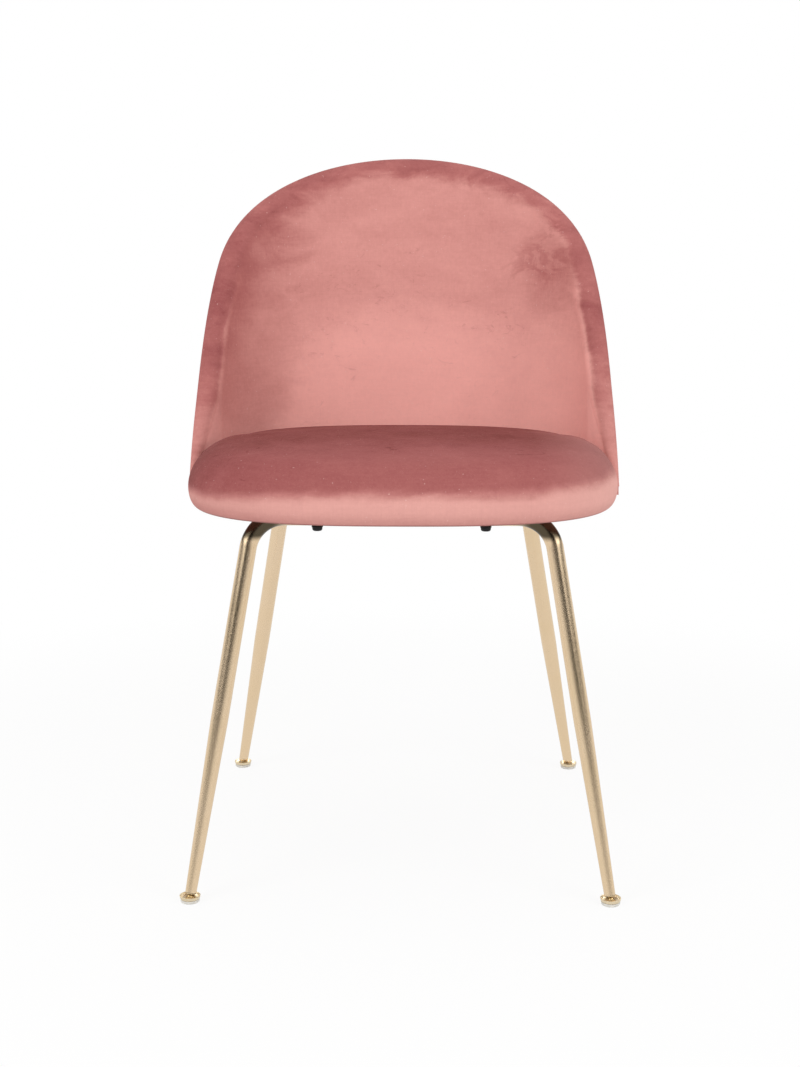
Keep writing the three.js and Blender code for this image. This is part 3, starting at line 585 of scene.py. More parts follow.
def thicknessAt(distance):
    return mix(back["tipThickness"], 1, smooth(back["tip"][0] - distance, 0, back["tipTaper"]))


# Place on the back of a column and an inset from the rim, at a depth and a drop below it
def layerPoint(station, inset, depth, drop=0.0):
    side, point, tangent = station
    share = thicknessAt(point.x)
    distance = point.x + inset * share * tangent.y
    height = point.y - inset * share * tangent.x
    return side * distance, height - drop, depth * share


def rollEntries(rows):
    entries = []
    full = chair["backThickness"]
    for step in range(rows + 1):
        turn = math.pi / 2 * (1 - step / rows)
        entries.append((back["innerRoll"] * (1 - math.cos(turn)),
                        back["rollMiddle"] + (full - back["rollMiddle"]) * math.sin(turn)))
    for step in range(1, rows + 1):
        turn = math.pi / 2 * step / rows
        entries.append((back["outerRoll"] * (1 - math.cos(turn)),
                        back["rollMiddle"] * (1 - math.sin(turn))))
    seam, tuck = back["seam"], back["tuck"]
    return entries + [(seam - 0.0006, 0.0), (seam - 0.0002, tuck * 0.3), (seam, tuck)]


stations = rimStations()
rimSamples = 600
rimTree = kdtree.KDTree(2 * rimSamples)
for index in range(rimSamples):
    for offset, curve in ((0, rimArch), (rimSamples, rimSide)):
        point = atLength(curve, curve[1][-1] * index / (rimSamples - 1))
        rimTree.insert((point.x, point.y, 0), index + offset)
rimTree.balance()


# A sheet of the back from its lower edge up to the rim and over the roll. Its entries are
# (inset from the rim, depth); under holds the depths of the part turned under the lower edge
def backSheet(entries, faceRows, under=(), closed=False):
    bm = bmesh.new()
    rows = faceRows + len(entries) + len(under)
    columns = len(stations)
    bmesh.ops.create_grid(bm, x_segments=columns - 1, y_segments=rows - 1, size=0.5)
    cloth = bm.loops.layers.uv.new("cloth")
    nap = bm.loops.layers.uv.new("nap")     # distance from the rim, and how far over the roll
    flat, edges, ends = {}, {}, {0: [], columns - 1: []}
    for vertex in bm.verts:
        column = round((vertex.co.x + 0.5) * (columns - 1))
        row = round((vertex.co.y + 0.5) * (rows - 1))
        station = stations[column]
        row -= len(under)
        if row < 0:
            inset, depth = entries[0][0], under[row]
            _, height, _ = layerPoint(station, inset, depth)
            distance, height, depth = layerPoint(station, inset, depth, height - back["bottom"])
            roll = 1.0
        elif row < faceRows:
            inset, depth = entries[0]
            _, height, _ = layerPoint(station, inset, depth)
            drop = (height - back["bottom"]) * (1 - row / faceRows)
            distance, height, depth = layerPoint(station, inset, depth, drop)
            roll = 0.0
        else:
            inset, depth = entries[row - faceRows]
            distance, height, depth = layerPoint(station, inset, depth)
            roll = (row - faceRows) / (len(entries) - 1)
        nearest = rimTree.find((abs(distance), height, 0))[2]
        vertex.co = backPoint(distance, height, depth)
        flat[vertex] = (distance, height)
        edges[vertex] = (nearest * (1 - roll), roll)
        if column in (0, columns - 1):
            ends[column].append((row, vertex))
    if closed:
        for column, line in ends.items():
            rim = [vertex for _, vertex in sorted(line, key=lambda entry: entry[0])]
            inset, depth = back["innerRoll"], 0.0
            _, height, _ = layerPoint(stations[column], inset, depth)
            low = layerPoint(stations[column], inset, depth, height - back["bottom"])
            corner = bm.verts.new(backPoint(*low))
            flat[corner], edges[corner] = low[:2], (0, 1)
            cap = bm.faces.new(rim + [corner])
            bmesh.ops.recalc_face_normals(bm, faces=bm.faces)
            bmesh.ops.inset_region(bm, faces=[cap], thickness=0.001, depth=0.0007)
    for face in bm.faces:
        for loop in face.loops:
            loop[cloth].uv = flat.get(loop.vert, (0, 0))
            loop[nap].uv = edges.get(loop.vert, (0, 1))
    bmesh.ops.recalc_face_normals(bm, faces=bm.faces)
    return bm


def addWall(piece, thickness):
    wall = piece.modifiers.new("wall", "SOLIDIFY")
    wall.thickness = thickness
    wall.offset = -1
    applyModifiers(piece)


bm = backSheet(rollEntries(back["rollRows"]), back["faceRows"], closed=True)
faceAlong(bm, (0, 0.16, 0.6), (0, -1, 0))
for vertex in bm.verts:
    start = vertex.co.copy()
    vertex.co.y -= sum(noise.noise(start * often) * deep for often, deep in back["uneven"])
frontCover = makePiece("back_cover_front", bm, "seat_and_frames", ["back_cover_front"],
                       [finish["backVelvet"]])
addWall(frontCover, back["coverThickness"])
print("front cover:", len(frontCover.data.polygons), "faces")

rearEntries = [(back["innerRoll"], 0.0), (back["seam"] + 0.0009, 0.0),
               (back["seam"] + 0.0005, back["tuck"] * 0.3), (back["seam"] + 0.0003, back["tuck"])]
bm = backSheet(rearEntries, back["rearRows"], back["turnedUnder"])
cutArea = sum(face.calc_area() for face in bm.faces)
faceAlong(bm, (0, 0.21, 0.6), (0, 1, 0))
rearCover = makePiece("back_cover_rear", bm, "seat_and_frames", ["back_cover_rear"],
                      [finish["rearVelvet"]])
addWall(rearCover, back["coverThickness"])
print("rear cover:", len(rearCover.data.polygons), "faces")


# The seat
seat = {
    "halfWidth": 0.2465,
    "corner": 0.71,
    "middle": 0.020,
    "crease": 0.0032,
    "bottom": 0.402,
    "rearBottom": 0.4105,
    "wide": 0.422,
    "roll": 0.0415,
    "crown": 0.0145,
    "rollShare": 0.18,           # of the way out from the middle
    "underShare": 0.036,
    "hemOuter": 0.905,
    "hemInner": 0.8,
    "leanFade": 0.045,
    "sides": 180,
    "pressure": 8.0,
    "frames": 20,
    "pinnedBelow": (0.404, 0.418),
    "pinnedBehind": (0.08, 0.15),
    "cap": 0.005,                # how far the foam swells the cover, at the sides and on top
    "topCap": 0.001,
    "noSwellBehind": (0.0, 0.09),
}


def seatLoop():
    half = []
    for step in range(61):
        distance = back["tip"][0] * step / 60
        inset = chair["backThickness"] * thicknessAt(distance) + seat["crease"]
        point = backPoint(distance, chair["leanStart"], inset)
        half.append(Vector((point.x, point.y - chair["planShift"], 0)))
    for step in range(48, -1, -1):
        turn = math.pi / 2 * step / 48
        half.append(superellipse(turn, seat["halfWidth"], -chair["seatFrontDepth"], seat["corner"]))
    other = [Vector((-p.x, p.y, 0)) for p in reversed(half[1:-1])]
    ring = half + other
    ring.append(ring[0])
    lengths = [0.0]
    for first, second in zip(ring, ring[1:]):
        lengths.append(lengths[-1] + (second - first).length)
    return ring, lengths


outline = seatLoop()
seatMiddle = Vector((0, -seat["middle"], 0))


def padPoint(share, turnShare, frontHeight, rearHeight=None):
    edge = atLength(outline, outline[1][-1] * (turnShare % 1))
    rear = smooth(edge.y, 0, seat["leanFade"])
    height = mix(frontHeight, frontHeight if rearHeight is None else rearHeight, rear)
    point = seatMiddle.lerp(edge, share)
    leanBack = (height - chair["leanStart"]) * math.tan(chair["lean"]) * rear * share
    return Vector((point.x, point.y + leanBack + chair["planShift"], height))


def seatTop(share):
    inRoll = max(0, (share - 1 + seat["rollShare"]) / seat["rollShare"])
    roll = seat["roll"] * math.sqrt(max(0, 1 - inRoll ** 2))
    return seat["wide"] + roll + seat["crown"] * (1 - share ** 2)


# The skin of the pad: (share of the outline, height, height at the rear), from the middle of the
# top over the roll to the turned-under edge
def seatProfile():
    turns = [math.pi / 2 * step / 14 for step in range(1, 15)]
    shares = [step / 10 for step in range(8)] + [0.78]
    shares += [1 - seat["rollShare"] * (1 - math.sin(turn)) for turn in turns]
    profile = [(share, seatTop(share), None) for share in shares]
    for step in range(1, 9):
        turn = math.pi / 2 * step / 8
        rise = 1 - math.sin(turn)
        profile.append((1 - seat["underShare"] * (1 - math.cos(turn)),
                        mix(seat["bottom"], seat["wide"], rise),
                        mix(seat["rearBottom"], seat["wide"], rise)))
    profile.append((seat["hemOuter"], seat["rearBottom"], None))
    profile.append((seat["hemInner"], seat["rearBottom"], None))
    return profile


def seatShape():
    profile = seatProfile()
    bm = spunProfile([(share, index) for index, (share, _, _) in enumerate(profile)], seat["sides"])
    for vertex in bm.verts:
        share, front, rear = profile[round(vertex.co.z)]
        turnShare = math.atan2(vertex.co.y, vertex.co.x) / math.tau % 1
        vertex.co = padPoint(share, turnShare, front, rear)
    closeUp(bm, 1e-5)
    return bm


def simulateSeat(piece):
    mesh = piece.data
    start = [v.co.copy() for v in mesh.vertices]
    outward = [v.normal.copy() for v in mesh.vertices]
    pinned = piece.vertex_groups.new(name="held")
    for vertex in mesh.vertices:
        low = 1 - smooth(vertex.co.z, *seat["pinnedBelow"])
        rear = smooth(vertex.co.y, *seat["pinnedBehind"]) * smooth(0.5 - vertex.co.z, 0.0, 0.03)
        pinned.add([vertex.index], max(low, rear), "REPLACE")
    cloth = piece.modifiers.new("cloth", "CLOTH")
    settings = cloth.settings
    settings.quality = 5
    settings.mass = 0.2
    settings.use_pressure = True
    settings.uniform_pressure_force = seat["pressure"]
    settings.tension_stiffness = 12
    settings.compression_stiffness = 12
    settings.bending_stiffness = 2
    settings.vertex_group_mass = "held"
    settings.effector_weights.gravity = 0
    cloth.point_cache.frame_start, cloth.point_cache.frame_end = 1, seat["frames"]
    for number in range(1, seat["frames"] + 1):
        scene.frame_set(number)
    done = piece.evaluated_get(bpy.context.evaluated_depsgraph_get()).data
    moved = [v.co.copy() for v in done.vertices]
    piece.modifiers.clear()
    for vertex, before, after, normal in zip(mesh.vertices, start, moved, outward):
        swell = max(0, (after - before).dot(normal))      # the foam holds the cover out
        cap = mix(seat["cap"], seat["topCap"], smooth(normal.z, 0.85, 1))
        free = 1 - smooth(before.y, *seat["noSwellBehind"])      # the back holds the rear in
        vertex.co = before + normal * min(swell, cap) * free
    scene.frame_set(1)


seatCover = makePiece("seat_cover", seatShape(), "seat_and_frames", ["seat_cover"],
                      [finish["seatVelvet"]])
simulateSeat(seatCover)
smoothing = seatCover.modifiers.new("rounding", "SUBSURF")
smoothing.levels = smoothing.render_levels = 1
applyModifiers(seatCover)
addWall(seatCover, back["coverThickness"])
print("seat cover:", len(seatCover.data.polygons), "faces")


# Dust cover under the seat, pinned by staples along its edge
dustCover = {
    "bottom": 0.4114,
    "thickness": 0.0006,
    "edge": 0.7987,
    "flat": (0.401, 0.33),
    "rings": 30,
    "sides": 176,
    "staples": 44,
    "stapleLine": 0.972,
    "stapleWidth": 0.010,
    "wire": 0.00055,
    "proud": 0.0004,
    "pucker": 0.00006,
    "slack": 0.0001,
}


def dustSheet():
    count = dustCover["rings"]
    bm = spunProfile([(step / count, 0) for step in range(count + 1)], dustCover["sides"])
    for vertex in bm.verts:
        share = min(1, vertex.co.length)
        turnShare = math.atan2(vertex.co.y, vertex.co.x) / math.tau % 1
        pucker = math.cos(turnShare * math.tau * dustCover["staples"]) * smooth(share, 0.86, 0.98)
        slack = noise.noise(Vector((vertex.co.x * 6, vertex.co.y * 6, 0))) * (1 - share)
        lift = dustCover["pucker"] * (pucker - 1) + dustCover["slack"] * slack
        vertex.co = padPoint(share * dustCover["edge"], turnShare, dustCover["bottom"])
        vertex.co.z = dustCover["bottom"] + 0.0001 + lift
    closeUp(bm, 1e-5)
    if sum(face.normal.z for face in bm.faces) > 0:
        bmesh.ops.reverse_faces(bm, faces=bm.faces)
    return bm


bm = dustSheet()
cutArea = sum(face.calc_area() for face in bm.faces)
cover = makePiece("seat_dust_cover", bm, "seat_and_frames", ["seat_dust_cover"],
                  [finish["dustCloth"]])
addWall(cover, dustCover["thickness"] * 0.8)


def stapleRow():
    bm = bmesh.new()
    count = dustCover["staples"]
    line = dustCover["edge"] * dustCover["stapleLine"]
    for index in range(count):
        middle = padPoint(line, (index + 0.5) / count, dustCover["bottom"])
        beside = padPoint(line, (index + 0.53) / count, dustCover["bottom"])
        turn = Matrix.Rotation(math.atan2(beside.y - middle.y, beside.x - middle.x), 4, "Z")
        size = Matrix.Diagonal((dustCover["stapleWidth"], dustCover["wire"], dustCover["proud"], 1))
        place = Matrix.Translation((middle.x, middle.y, dustCover["bottom"] - 0.0003))
        bmesh.ops.create_cube(bm, size=1, matrix=place @ turn @ size)
    ends = [e for e in bm.edges if abs(e.calc_length() - dustCover["proud"]) < 1e-5]
    bmesh.ops.bevel(bm, geom=ends, offset=0.00015, segments=1, profile=0.5,
                    affect="EDGES", material=-1)
    return bm


staples = makePiece("dust_cover_staples", stapleRow(), "seat_and_frames", (),
                    [finish["zincSteel"]], shadeSmooth=False)
print("dust cover:", len(cover.data.polygons), "faces")

# Leg frames
legs = {
    "tubeRadius": 0.0095,
    "endRadius": 0.006,
    "wall": 0.0013,
    "taper": 0.185,
    "bend": 0.040,
    "ballHeight": 0.0046,
    "ballToTube": 0.0051,
    "front": {"foot": (0.224, -0.255), "knee": (0.162, -0.145), "bolt": 0.092},
    "rear": {"foot": (0.219, 0.20204), "knee": (0.148, 0.10304), "bolt": 0.076},
    "ringSides": 40,
    "straightSteps": 6,
    "bendSteps": 22,
}


def footBall(name, side):
    across, depth = legs[name]["foot"]
    return Vector((side * across, depth + chair["planShift"], legs["ballHeight"]))


def kneePoint(name, side):
    across, depth = legs[name]["knee"]
    return Vector((side * across, depth + chair["planShift"], chair["tubeHeight"]))


def legDirection(name, side):
    return (kneePoint(name, side) - footBall(name, side)).normalized()


def legEnd(name, side):
    return footBall(name, side) + legDirection(name, side) * legs["ballToTube"]


def legFrame(name):
    corners = [legEnd(name, 1), kneePoint(name, 1), kneePoint(name, -1), legEnd(name, -1)]
    bm = bmesh.new()
    run = (corners[1] - corners[0]).normalized()
    upright = Vector((0, 0, 1)).rotation_difference(run).to_matrix().to_4x4()
    bmesh.ops.create_circle(bm, segments=legs["ringSides"], radius=legs["endRadius"],
                            cap_ends=False, matrix=Matrix.Translation(corners[0]) @ upright)
    ring = bm.edges[:]
    here = corners[0].copy()

    def pull(ring, here, there, radius, newRadius):
        count = legs["straightSteps"]
        for step in range(1, count + 1):
            made = bmesh.ops.extrude_edge_only(bm, edges=ring)["geom"]
            dots = [g for g in made if isinstance(g, bmesh.types.BMVert)]
            ring = [g for g in made if isinstance(g, bmesh.types.BMEdge)
                    and g.verts[0] in dots and g.verts[1] in dots]
            before, now = (step - 1) / count, step / count
            target = here.lerp(there, now)
            bmesh.ops.translate(bm, verts=dots, vec=target - here.lerp(there, before))
            grown = mix(radius, newRadius, now) / mix(radius, newRadius, before)
            bmesh.ops.scale(bm, verts=dots, vec=(grown,) * 3, space=Matrix.Translation(-target))
        return ring

    for index in (1, 2):
        inward = (corners[index] - corners[index - 1]).normalized()
        outward = (corners[index + 1] - corners[index]).normalized()
        turn = inward.angle(outward)
        setback = legs["bend"] * math.tan(turn / 2)
        axis = inward.cross(outward).normalized()
        bendStart = corners[index] - inward * setback
        centre = bendStart + axis.cross(inward) * legs["bend"]
        if index == 1:
            taperEnd = here + inward * legs["taper"]
            ring = pull(ring, here, taperEnd, legs["endRadius"], legs["tubeRadius"])
            here = taperEnd
        ring = pull(ring, here, bendStart, legs["tubeRadius"], legs["tubeRadius"])
        made = bmesh.ops.spin(bm, geom=ring, cent=centre, axis=axis, angle=turn,
                              steps=legs["bendSteps"])["geom_last"]
        ring = [g for g in made if isinstance(g, bmesh.types.BMEdge)]
        here = corners[index] + outward * setback
    last = corners[3]
    outward = (last - corners[2]).normalized()
    taperStart = last - outward * legs["taper"]
    ring = pull(ring, here, taperStart, legs["tubeRadius"], legs["tubeRadius"])
    pull(ring, taperStart, last, legs["tubeRadius"], legs["endRadius"])
    closeUp(bm, 1e-7)
    faceAlong(bm, (0, kneePoint(name, 1).y, 1), (0, 0, 1))
    piece = makePiece(f"{name}_leg_frame", bm, "seat_and_frames", [f"{name}_leg_frame"],
                      [finish["champagne"]])
    addWall(piece, legs["wall"])
    return piece


for frameName in ("front", "rear"):
    made = legFrame(frameName)
    print(made.name, len(made.data.polygons), "faces")


# Rails that tie the leg frames together
rails = {
    "bottom": 0.4081,
    "thickness": 0.003,
    "width": 0.026,
    "corner": 0.005,
    "edge": 0.0005,
}


def railBar(side):
    ends = [Vector((side * legs[name]["bolt"], kneePoint(name, side).y, 0))
            for name in ("front", "rear")]
    run = ends[1] - ends[0]
    middle = (ends[0] + ends[1]) / 2
    middle.z = rails["bottom"] + rails["thickness"] / 2
    size = Matrix.Diagonal((run.length + rails["width"], rails["width"], rails["thickness"], 1))
    turn = Matrix.Rotation(math.atan2(run.y, run.x), 4, "Z")
    bm = bmesh.new()
    bmesh.ops.create_cube(bm, size=1, matrix=Matrix.Translation(middle) @ turn @ size)
    upright = [e for e in bm.edges if abs((e.verts[0].co - e.verts[1].co).normalized().z) > 0.9]
    bmesh.ops.bevel(bm, geom=upright, offset=rails["corner"], segments=6, profile=0.5,
                    affect="EDGES", material=-1)
    softenEdges(bm, 60, rails["edge"])
    return bm


for name, side in (("left", -1), ("right", 1)):
    makePiece(f"frame_rail_{name}", railBar(side), "seat_and_frames", [f"frame_rail_{name}"],
              [finish["champagne"]])
print("rails made")

# Glides
glide = {
    "padRadius": 0.0101,
    "padThickness": 0.0034,
    "padEdge": 0.0008,
    "socketRadius": 0.0052,
    "socketRise": 0.0016,
    "ballRadius": 0.0035,
    "cupRim": 0.0112,
    "cupHeight": 0.0073,
    "cupWall": 0.001,
    "neckRadius": 0.0016,
    "neckBottom": 0.004,         # heights over the ball's middle, along the leg
    "plugTop": 0.0211,
    "plugRadius": 0.0044,
    "plugBore": 0.0019,
    "plugFlange": 0.006,
    "plugFlangeTop": 0.0048,
    "gap": 0.0003,
}


def padProfile():
    g = glide
    socket = g["ballRadius"] + g["gap"]
    high = math.asin(g["socketRise"] / socket)
    inside = []
    for step in range(13):
        turn = mix(high, -math.pi / 2, step / 12)
        inside.append((socket * math.cos(turn) if step < 12 else 0,
                       legs["ballHeight"] + socket * math.sin(turn)))
    return [(0, 0), (g["padRadius"] - g["padEdge"], 0), (g["padRadius"], g["padEdge"]),
            (g["padRadius"], g["padThickness"]), (g["socketRadius"], g["padThickness"]),
            (g["socketRadius"], legs["ballHeight"] + g["socketRise"])] + inside


def cupProfile():
    g = glide
    bottom = g["padThickness"] + g["gap"]
    inner = bottom + g["cupWall"]
    hole = g["socketRadius"] + g["gap"]
    return [(hole, bottom), (g["padRadius"], bottom), (g["padRadius"] + 0.0006, bottom + 0.0012),
            (g["cupRim"], g["cupHeight"]), (g["cupRim"] - g["cupWall"], g["cupHeight"]),
            (g["padRadius"] - g["cupWall"] + 0.0002, inner + 0.0008),
            (g["padRadius"] - g["cupWall"] - 0.0008, inner), (hole, inner), (hole, bottom)]


# The ball, its collar, its neck, and the head that holds it in the plug
def studProfile():
    g = glide
    collar, head = g["neckRadius"] + 0.0002, g["neckRadius"] + 0.0012
    headBottom = g["plugTop"] + g["gap"]
    last = math.acos(collar / g["ballRadius"])
    turns = [mix(-math.pi / 2, last, step / 14) for step in range(15)]
    ball = [(g["ballRadius"] * math.cos(turn), g["ballRadius"] * math.sin(turn)) for turn in turns]
    ball[0] = (0, -g["ballRadius"])
    return ball + [(collar, g["neckBottom"]), (g["neckRadius"], g["neckBottom"]),
                   (g["neckRadius"], headBottom), (head, headBottom), (head, headBottom + 0.002),
                   (0, headBottom + 0.002)]


def plugProfile():
    g = glide
    bore, bottom, rim = g["plugBore"], g["neckBottom"], g["plugFlangeTop"]
    return [(bore, bottom), (g["plugFlange"], bottom), (g["plugFlange"], rim),
            (g["plugRadius"], rim), (g["plugRadius"], g["plugTop"]), (bore, g["plugTop"]),
            (bore, bottom)]


for frameName in ("front", "rear"):
    for side, sideName in sideNames.items():
        name = f"{frameName}_{sideName}"
        ball = footBall(frameName, side)
        ground = Vector((ball.x, ball.y, 0))
        direction = legDirection(frameName, side)
        turnedPiece(f"glide_pad_{name}", padProfile(), ground, f"glide_{name}",
                    finish["pad"], edge=0.00025)
        turnedPiece(f"glide_cup_{name}", cupProfile(), ground, f"glide_{name}",
                    finish["cup"], edge=0.0002, steps=64)
        turnedPiece(f"ball_stud_{name}", studProfile(), ball, f"stud_{name}",
                    finish["yellowZinc"], axis=direction, steps=32)
        turnedPiece(f"leg_plug_{name}", plugProfile(), ball, "seat_and_frames",
                    finish["plug"], axis=direction, steps=40, edge=0.0002)
print("glides made")


# Bolts, washers and tee nuts of the leg frames
fixing = {
    "headRadius": 0.0056,
    "headHeight": 0.0036,
    "domeHeight": 0.0024,
    "domeFlat": 0.62,            # share of the head that is flat round the socket
    "plain": 0.012,              # length without thread
    "threadStep": 0.0005,
    "threadDepth": 0.00028,
    "socket": 0.00224,
    "socketDepth": 0.0022,
    "boltRadius": 0.003,
    "washerRadius": 0.0062,
    "washer": 0.0016,
    "hole": 0.0034,
    "nutBarrel": 0.0046,
    "nutFlange": 0.0095,
    "nutBottom": 0.4173,
    "flange": 0.0018,
    "boardTop": 0.4273,
    "gap": 0.0003,
}


def cutBy(piece, tool):
    cut = piece.modifiers.new("cut", "BOOLEAN")
    cut.object, cut.operation, cut.solver = tool, "DIFFERENCE", "EXACT"
    applyModifiers(piece)
    bpy.data.objects.remove(tool)


def toolFrom(bm):
    mesh = bpy.data.meshes.new("tool")
    bm.to_mesh(mesh)
    bm.free()
    tool = bpy.data.objects.new("tool", mesh)
    scene.collection.objects.link(tool)
    return tool


# A six-sided pin that cuts the socket of a bolt head
def socketTool(place, radius, depth):
    bm = bmesh.new()
    bmesh.ops.create_cone(bm, cap_ends=True, segments=6, radius1=radius, radius2=radius,
                          depth=depth, matrix=Matrix.Translation(place))
    return toolFrom(bm)


def boltProfile(top):
    f = fixing
    low, end = top - f["headHeight"], f["boardTop"] - f["gap"]
    dome = [(f["headRadius"] * mix(f["domeFlat"], 1, math.sin(turn)),
             low + f["domeHeight"] * (1 - math.cos(turn)))
            for turn in (math.pi / 2 * step / 8 for step in range(9))]
    threads, height = [], top + f["plain"]
    while height < f["boardTop"] - 0.0012:
        threads += [(f["boltRadius"], height),
                    (f["boltRadius"] - f["threadDepth"], height + f["threadStep"])]
        height += 2 * f["threadStep"]
    return ([(0, low)] + dome + [(f["headRadius"], top), (f["boltRadius"], top)] + threads
            + [(f["boltRadius"] - 0.0003, end), (0, end)])


headTop = chair["tubeHeight"] - legs["tubeRadius"] - fixing["washer"] - 2 * fixing["gap"]
washerTop = chair["tubeHeight"] - legs["tubeRadius"] - fixing["gap"]
flangeBottom = fixing["boardTop"] + fixing["gap"]
flangeTop = fixing["boardTop"] + fixing["flange"]
for frameName in ("front", "rear"):
    for side, sideName in sideNames.items():
        name = f"{frameName}_{sideName}"
        place = Vector((side * legs[frameName]["bolt"], kneePoint(frameName, side).y, 0))
        bolt = turnedPiece(f"bolt_{name}", boltProfile(headTop), place, "seat_and_frames",
                           finish["blackSteel"], steps=36)
        socketAt = place + Vector((0, 0, headTop - fixing["headHeight"]))
        cutBy(bolt, socketTool(socketAt, fixing["socket"], 2 * fixing["socketDepth"]))
        ring = [(fixing["hole"], washerTop - fixing["washer"]),
                (fixing["washerRadius"], washerTop - fixing["washer"]),
                (fixing["washerRadius"], washerTop), (fixing["hole"], washerTop),
                (fixing["hole"], washerTop - fixing["washer"])]
        turnedPiece(f"washer_{name}", ring, place, "seat_and_frames",
                    finish["blackSteel"], edge=0.0002)
        bore, barrel, flange = fixing["hole"], fixing["nutBarrel"], fixing["nutFlange"]
        nut = [(bore, fixing["nutBottom"]), (barrel, fixing["nutBottom"]), (barrel, flangeBottom),
               (flange, flangeBottom), (flange, flangeTop), (bore, flangeTop),
               (bore, fixing["nutBottom"])]
        turnedPiece(f"tee_nut_{name}", nut, place, "seat_and_frames",
                    finish["zincSteel"], edge=0.0002)
print("bolts made")

# Screws up into the seat board, with a cross in their heads
screws = {
    "distance": {"rear": 0.0, "left": -0.26998, "right": 0.26998},
    "top": 0.4102,
    "depth": 0.01405,
    "inset": 0.054,
    "plate": 0.0028,
    "head": 0.004,
    "headHeight": 0.0024,
    "radius": 0.002,
    "length": 0.012,
    "dome": ((0, 0), (0.0022, 0.0001), (0.0033, 0.0007), (0.004, 0.0018)),
    "plain": 0.003,
    "threadStep": 0.0006,
    "threadDepth": 0.00045,
    "point": 0.003,
    "cross": (0.0042, 0.00085, 0.0024),
    "crossTurn": 0.6,
}


def screwProfile():
    head = screws["top"] - screws["plate"]
    low, tip = head - screws["headHeight"], screws["top"] + screws["length"]
    dome = [(across, low + up) for across, up in screws["dome"]]
    threads, height = [], head + screws["plain"]
    while height < tip - screws["point"] - 0.0005:
        threads += [(screws["radius"], height),
                    (screws["radius"] - screws["threadDepth"], height + screws["threadStep"])]
        height += 2 * screws["threadStep"]
    return (dome + [(screws["head"], head), (screws["radius"], head)] + threads
            + [(screws["radius"] - 0.0005, tip - screws["point"]), (0, tip)])


# A flat blade that cuts one slot of the cross
def bladeTool(place, turn):
    bm = bmesh.new()
    bmesh.ops.create_cube(bm, size=1, matrix=Matrix.Translation(place)
                          @ Matrix.Rotation(turn, 4, "Z") @ Matrix.Diagonal(screws["cross"] + (1,)))
    return toolFrom(bm)


for name, distance in screws["distance"].items():
    _, tangent = alongCurve(plan, planHalf + distance)
    place = backPoint(distance, screws["top"], screws["depth"])
    place += Vector((tangent.y, -tangent.x, 0)) * screws["inset"]
    low = screws["top"] - screws["plate"] - screws["headHeight"]
    screw = turnedPiece(f"seat_screw_{name}", screwProfile(), Vector((place.x, place.y, 0)),
                        "seat_and_frames", finish["zincSteel"], steps=32)
    for turn in (0, math.pi / 2):
        cutBy(screw, bladeTool(Vector((place.x, place.y, low)), screws["crossTurn"] + turn))
    print(screw.name, len(screw.data.polygons), "faces")


# Camera
view = {
    "place": (0.0262, -1.86055, 0.68268),
    "turn": (math.radians(80), 0, math.radians(0.93)),
    "lens": 71.80,
}
camera = bpy.data.objects.new("camera", bpy.data.cameras.new("camera"))
scene.collection.objects.link(camera)
camera.location = view["place"]
camera.rotation_euler = view["turn"]
camera.data.lens = view["lens"]
camera.data.sensor_width = 36
camera.data.sensor_fit = "HORIZONTAL"
scene.camera = camera

# Lamps
lights = {
    "key": {"place": (-1.9, -1.7, 1.9), "size": 1.6, "power": 24},
    "fill": {"place": (2.0, -1.6, 1.6), "size": 1.8, "power": 20},
    "top": {"place": (0.0, 0.3, 2.8), "size": 2.2, "power": 5},
}
for name, values in lights.items():
    lamp = bpy.data.lights.new(name, "AREA")
    lamp.shape = "DISK"
    lamp.size = values["size"]
    lamp.energy = values["power"]
    holder = bpy.data.objects.new(name, lamp)
    holder.location = values["place"]
    aim = Vector((0, 0, 0.45)) - Vector(values["place"])
    holder.rotation_euler = aim.to_track_quat("-Z", "Y").to_euler()
    holder.visible_glossy = name == "top"     # the world gives the other reflections
    scene.collection.objects.link(holder)

# The studio: white all round for the camera, with a plain ambient light. Reflections also meet
# an unlit band above the horizon, on all sides but behind the chair, and a lamp at each side.
# Pairs are where a zone starts and where it is full
studio = {
    "ambient": 0.68,
    "darkness": 0.97,
    "darkFrom": (0.09, 0.26),
    "darkTo": (0.55, 0.75),
    "darkSide": (0.45, 0.95),
    "sideLamps": 3.2,
    "sideLampsFrom": (0.06, 0.26),
    "sideLampsHeight": (0.385, 0.44),
    "sideLampsTop": (0.8, 0.95),
}


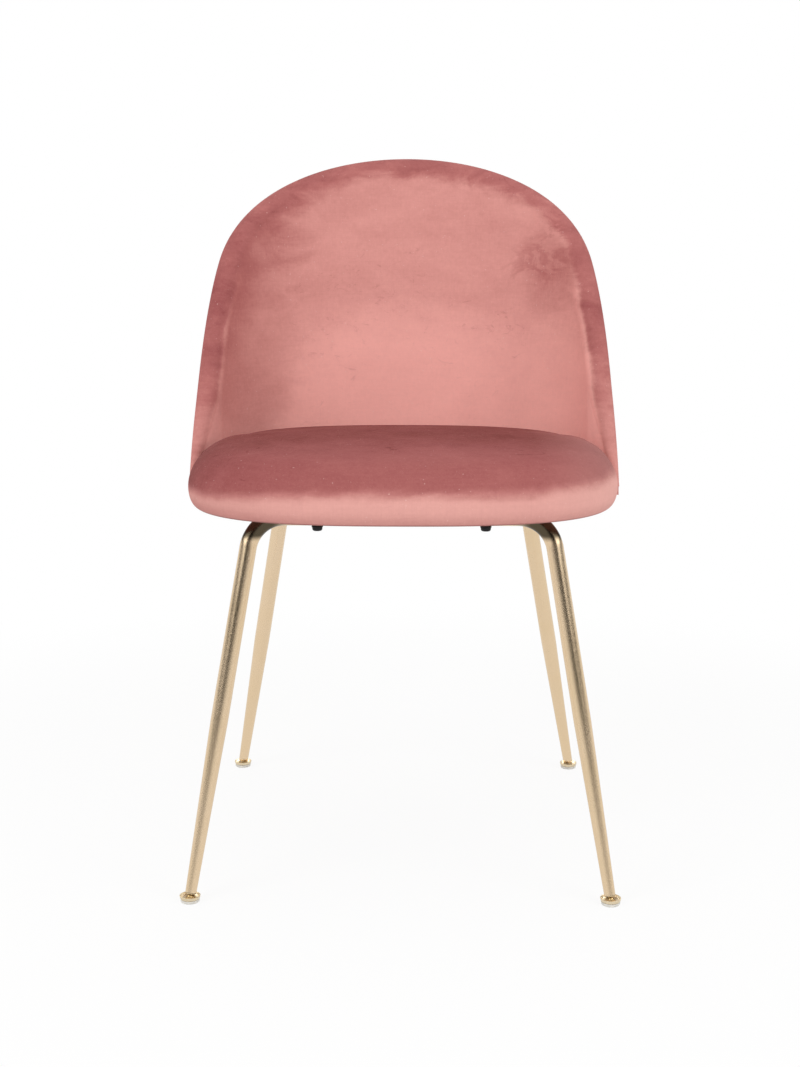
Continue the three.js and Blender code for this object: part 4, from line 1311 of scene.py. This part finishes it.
def studioWorld():
    scene.world = bpy.data.worlds.new("studio")
    paint = Paint("studio", owner=scene.world)
    across, away, up = paint.parts(paint.node("TexCoord", output="Generated"))
    seen, glossy, through = paint.rays()
    side = paint.step(across * across, *studio["sideLampsFrom"])
    dark = (1 - paint.step(away, *studio["darkSide"])) * paint.step(up, *studio["darkFrom"])
    dark = dark * (1 - paint.step(up + side * 0.1, *studio["darkTo"]))
    lamp = side * paint.step(up, *studio["sideLampsHeight"])
    lamp = lamp * (1 - paint.step(up, *studio["sideLampsTop"]))
    reflected = 1 - dark * studio["darkness"] + lamp * studio["sideLamps"]
    strength = studio["ambient"] + glossy * (reflected - studio["ambient"])
    strength = strength + seen.math("MAXIMUM", through) * (1 - strength)
    light = paint.node("Background", {}, {"Color": (1, 1, 1, 1), "Strength": strength})
    paint.node("OutputWorld", {}, {"Surface": light})


studioWorld()

# The floor: nearly white where it is seen, and near the chair it keeps some of the shadow
ground = {
    "size": 12,
    "white": 0.88,
    "allWhiteFrom": (0.2, 1.6),  # squared distance
}


def floorFinish():
    paint = Paint("studioFloor", (1, 1, 1, 1))
    place = paint.place()
    x, y, _ = paint.parts(place)
    colour = paint.blend(paint.noise(place, 3, 2), tone("F6F6F5"), tone("FAFAFA"))
    shader = paint.node("BsdfDiffuse", {}, {"Color": colour})
    glow = paint.node("Emission", {}, {"Color": (1, 1, 1, 1), "Strength": 1.0})
    seen, glossy, through = paint.rays()
    shown = seen.math("MAXIMUM", glossy).math("MAXIMUM", through)
    far = paint.step(x * x + y * y, *ground["allWhiteFrom"])
    both = paint.node("MixShader", {}, {0: shown * (ground["white"] + (1 - ground["white"]) * far),
                                        1: shader, 2: glow})
    paint.node("OutputMaterial", {}, {"Surface": both})
    return paint.owner


bm = bmesh.new()
bmesh.ops.create_grid(bm, x_segments=2, y_segments=2, size=ground["size"])
floorMesh = bpy.data.meshes.new("floor")
bm.to_mesh(floorMesh)
bm.free()
floorMesh.materials.append(floorFinish())
floor = bpy.data.objects.new("floor", floorMesh)
scene.collection.objects.link(floor)

for piece in scene.objects:              # smooth shading stops at sharp edges
    if piece.type == "MESH" and piece.name not in nodes:
        piece.data.set_sharp_from_angle(angle=math.radians(38))

scene.view_settings.view_transform = "Standard"
print("scene ready")
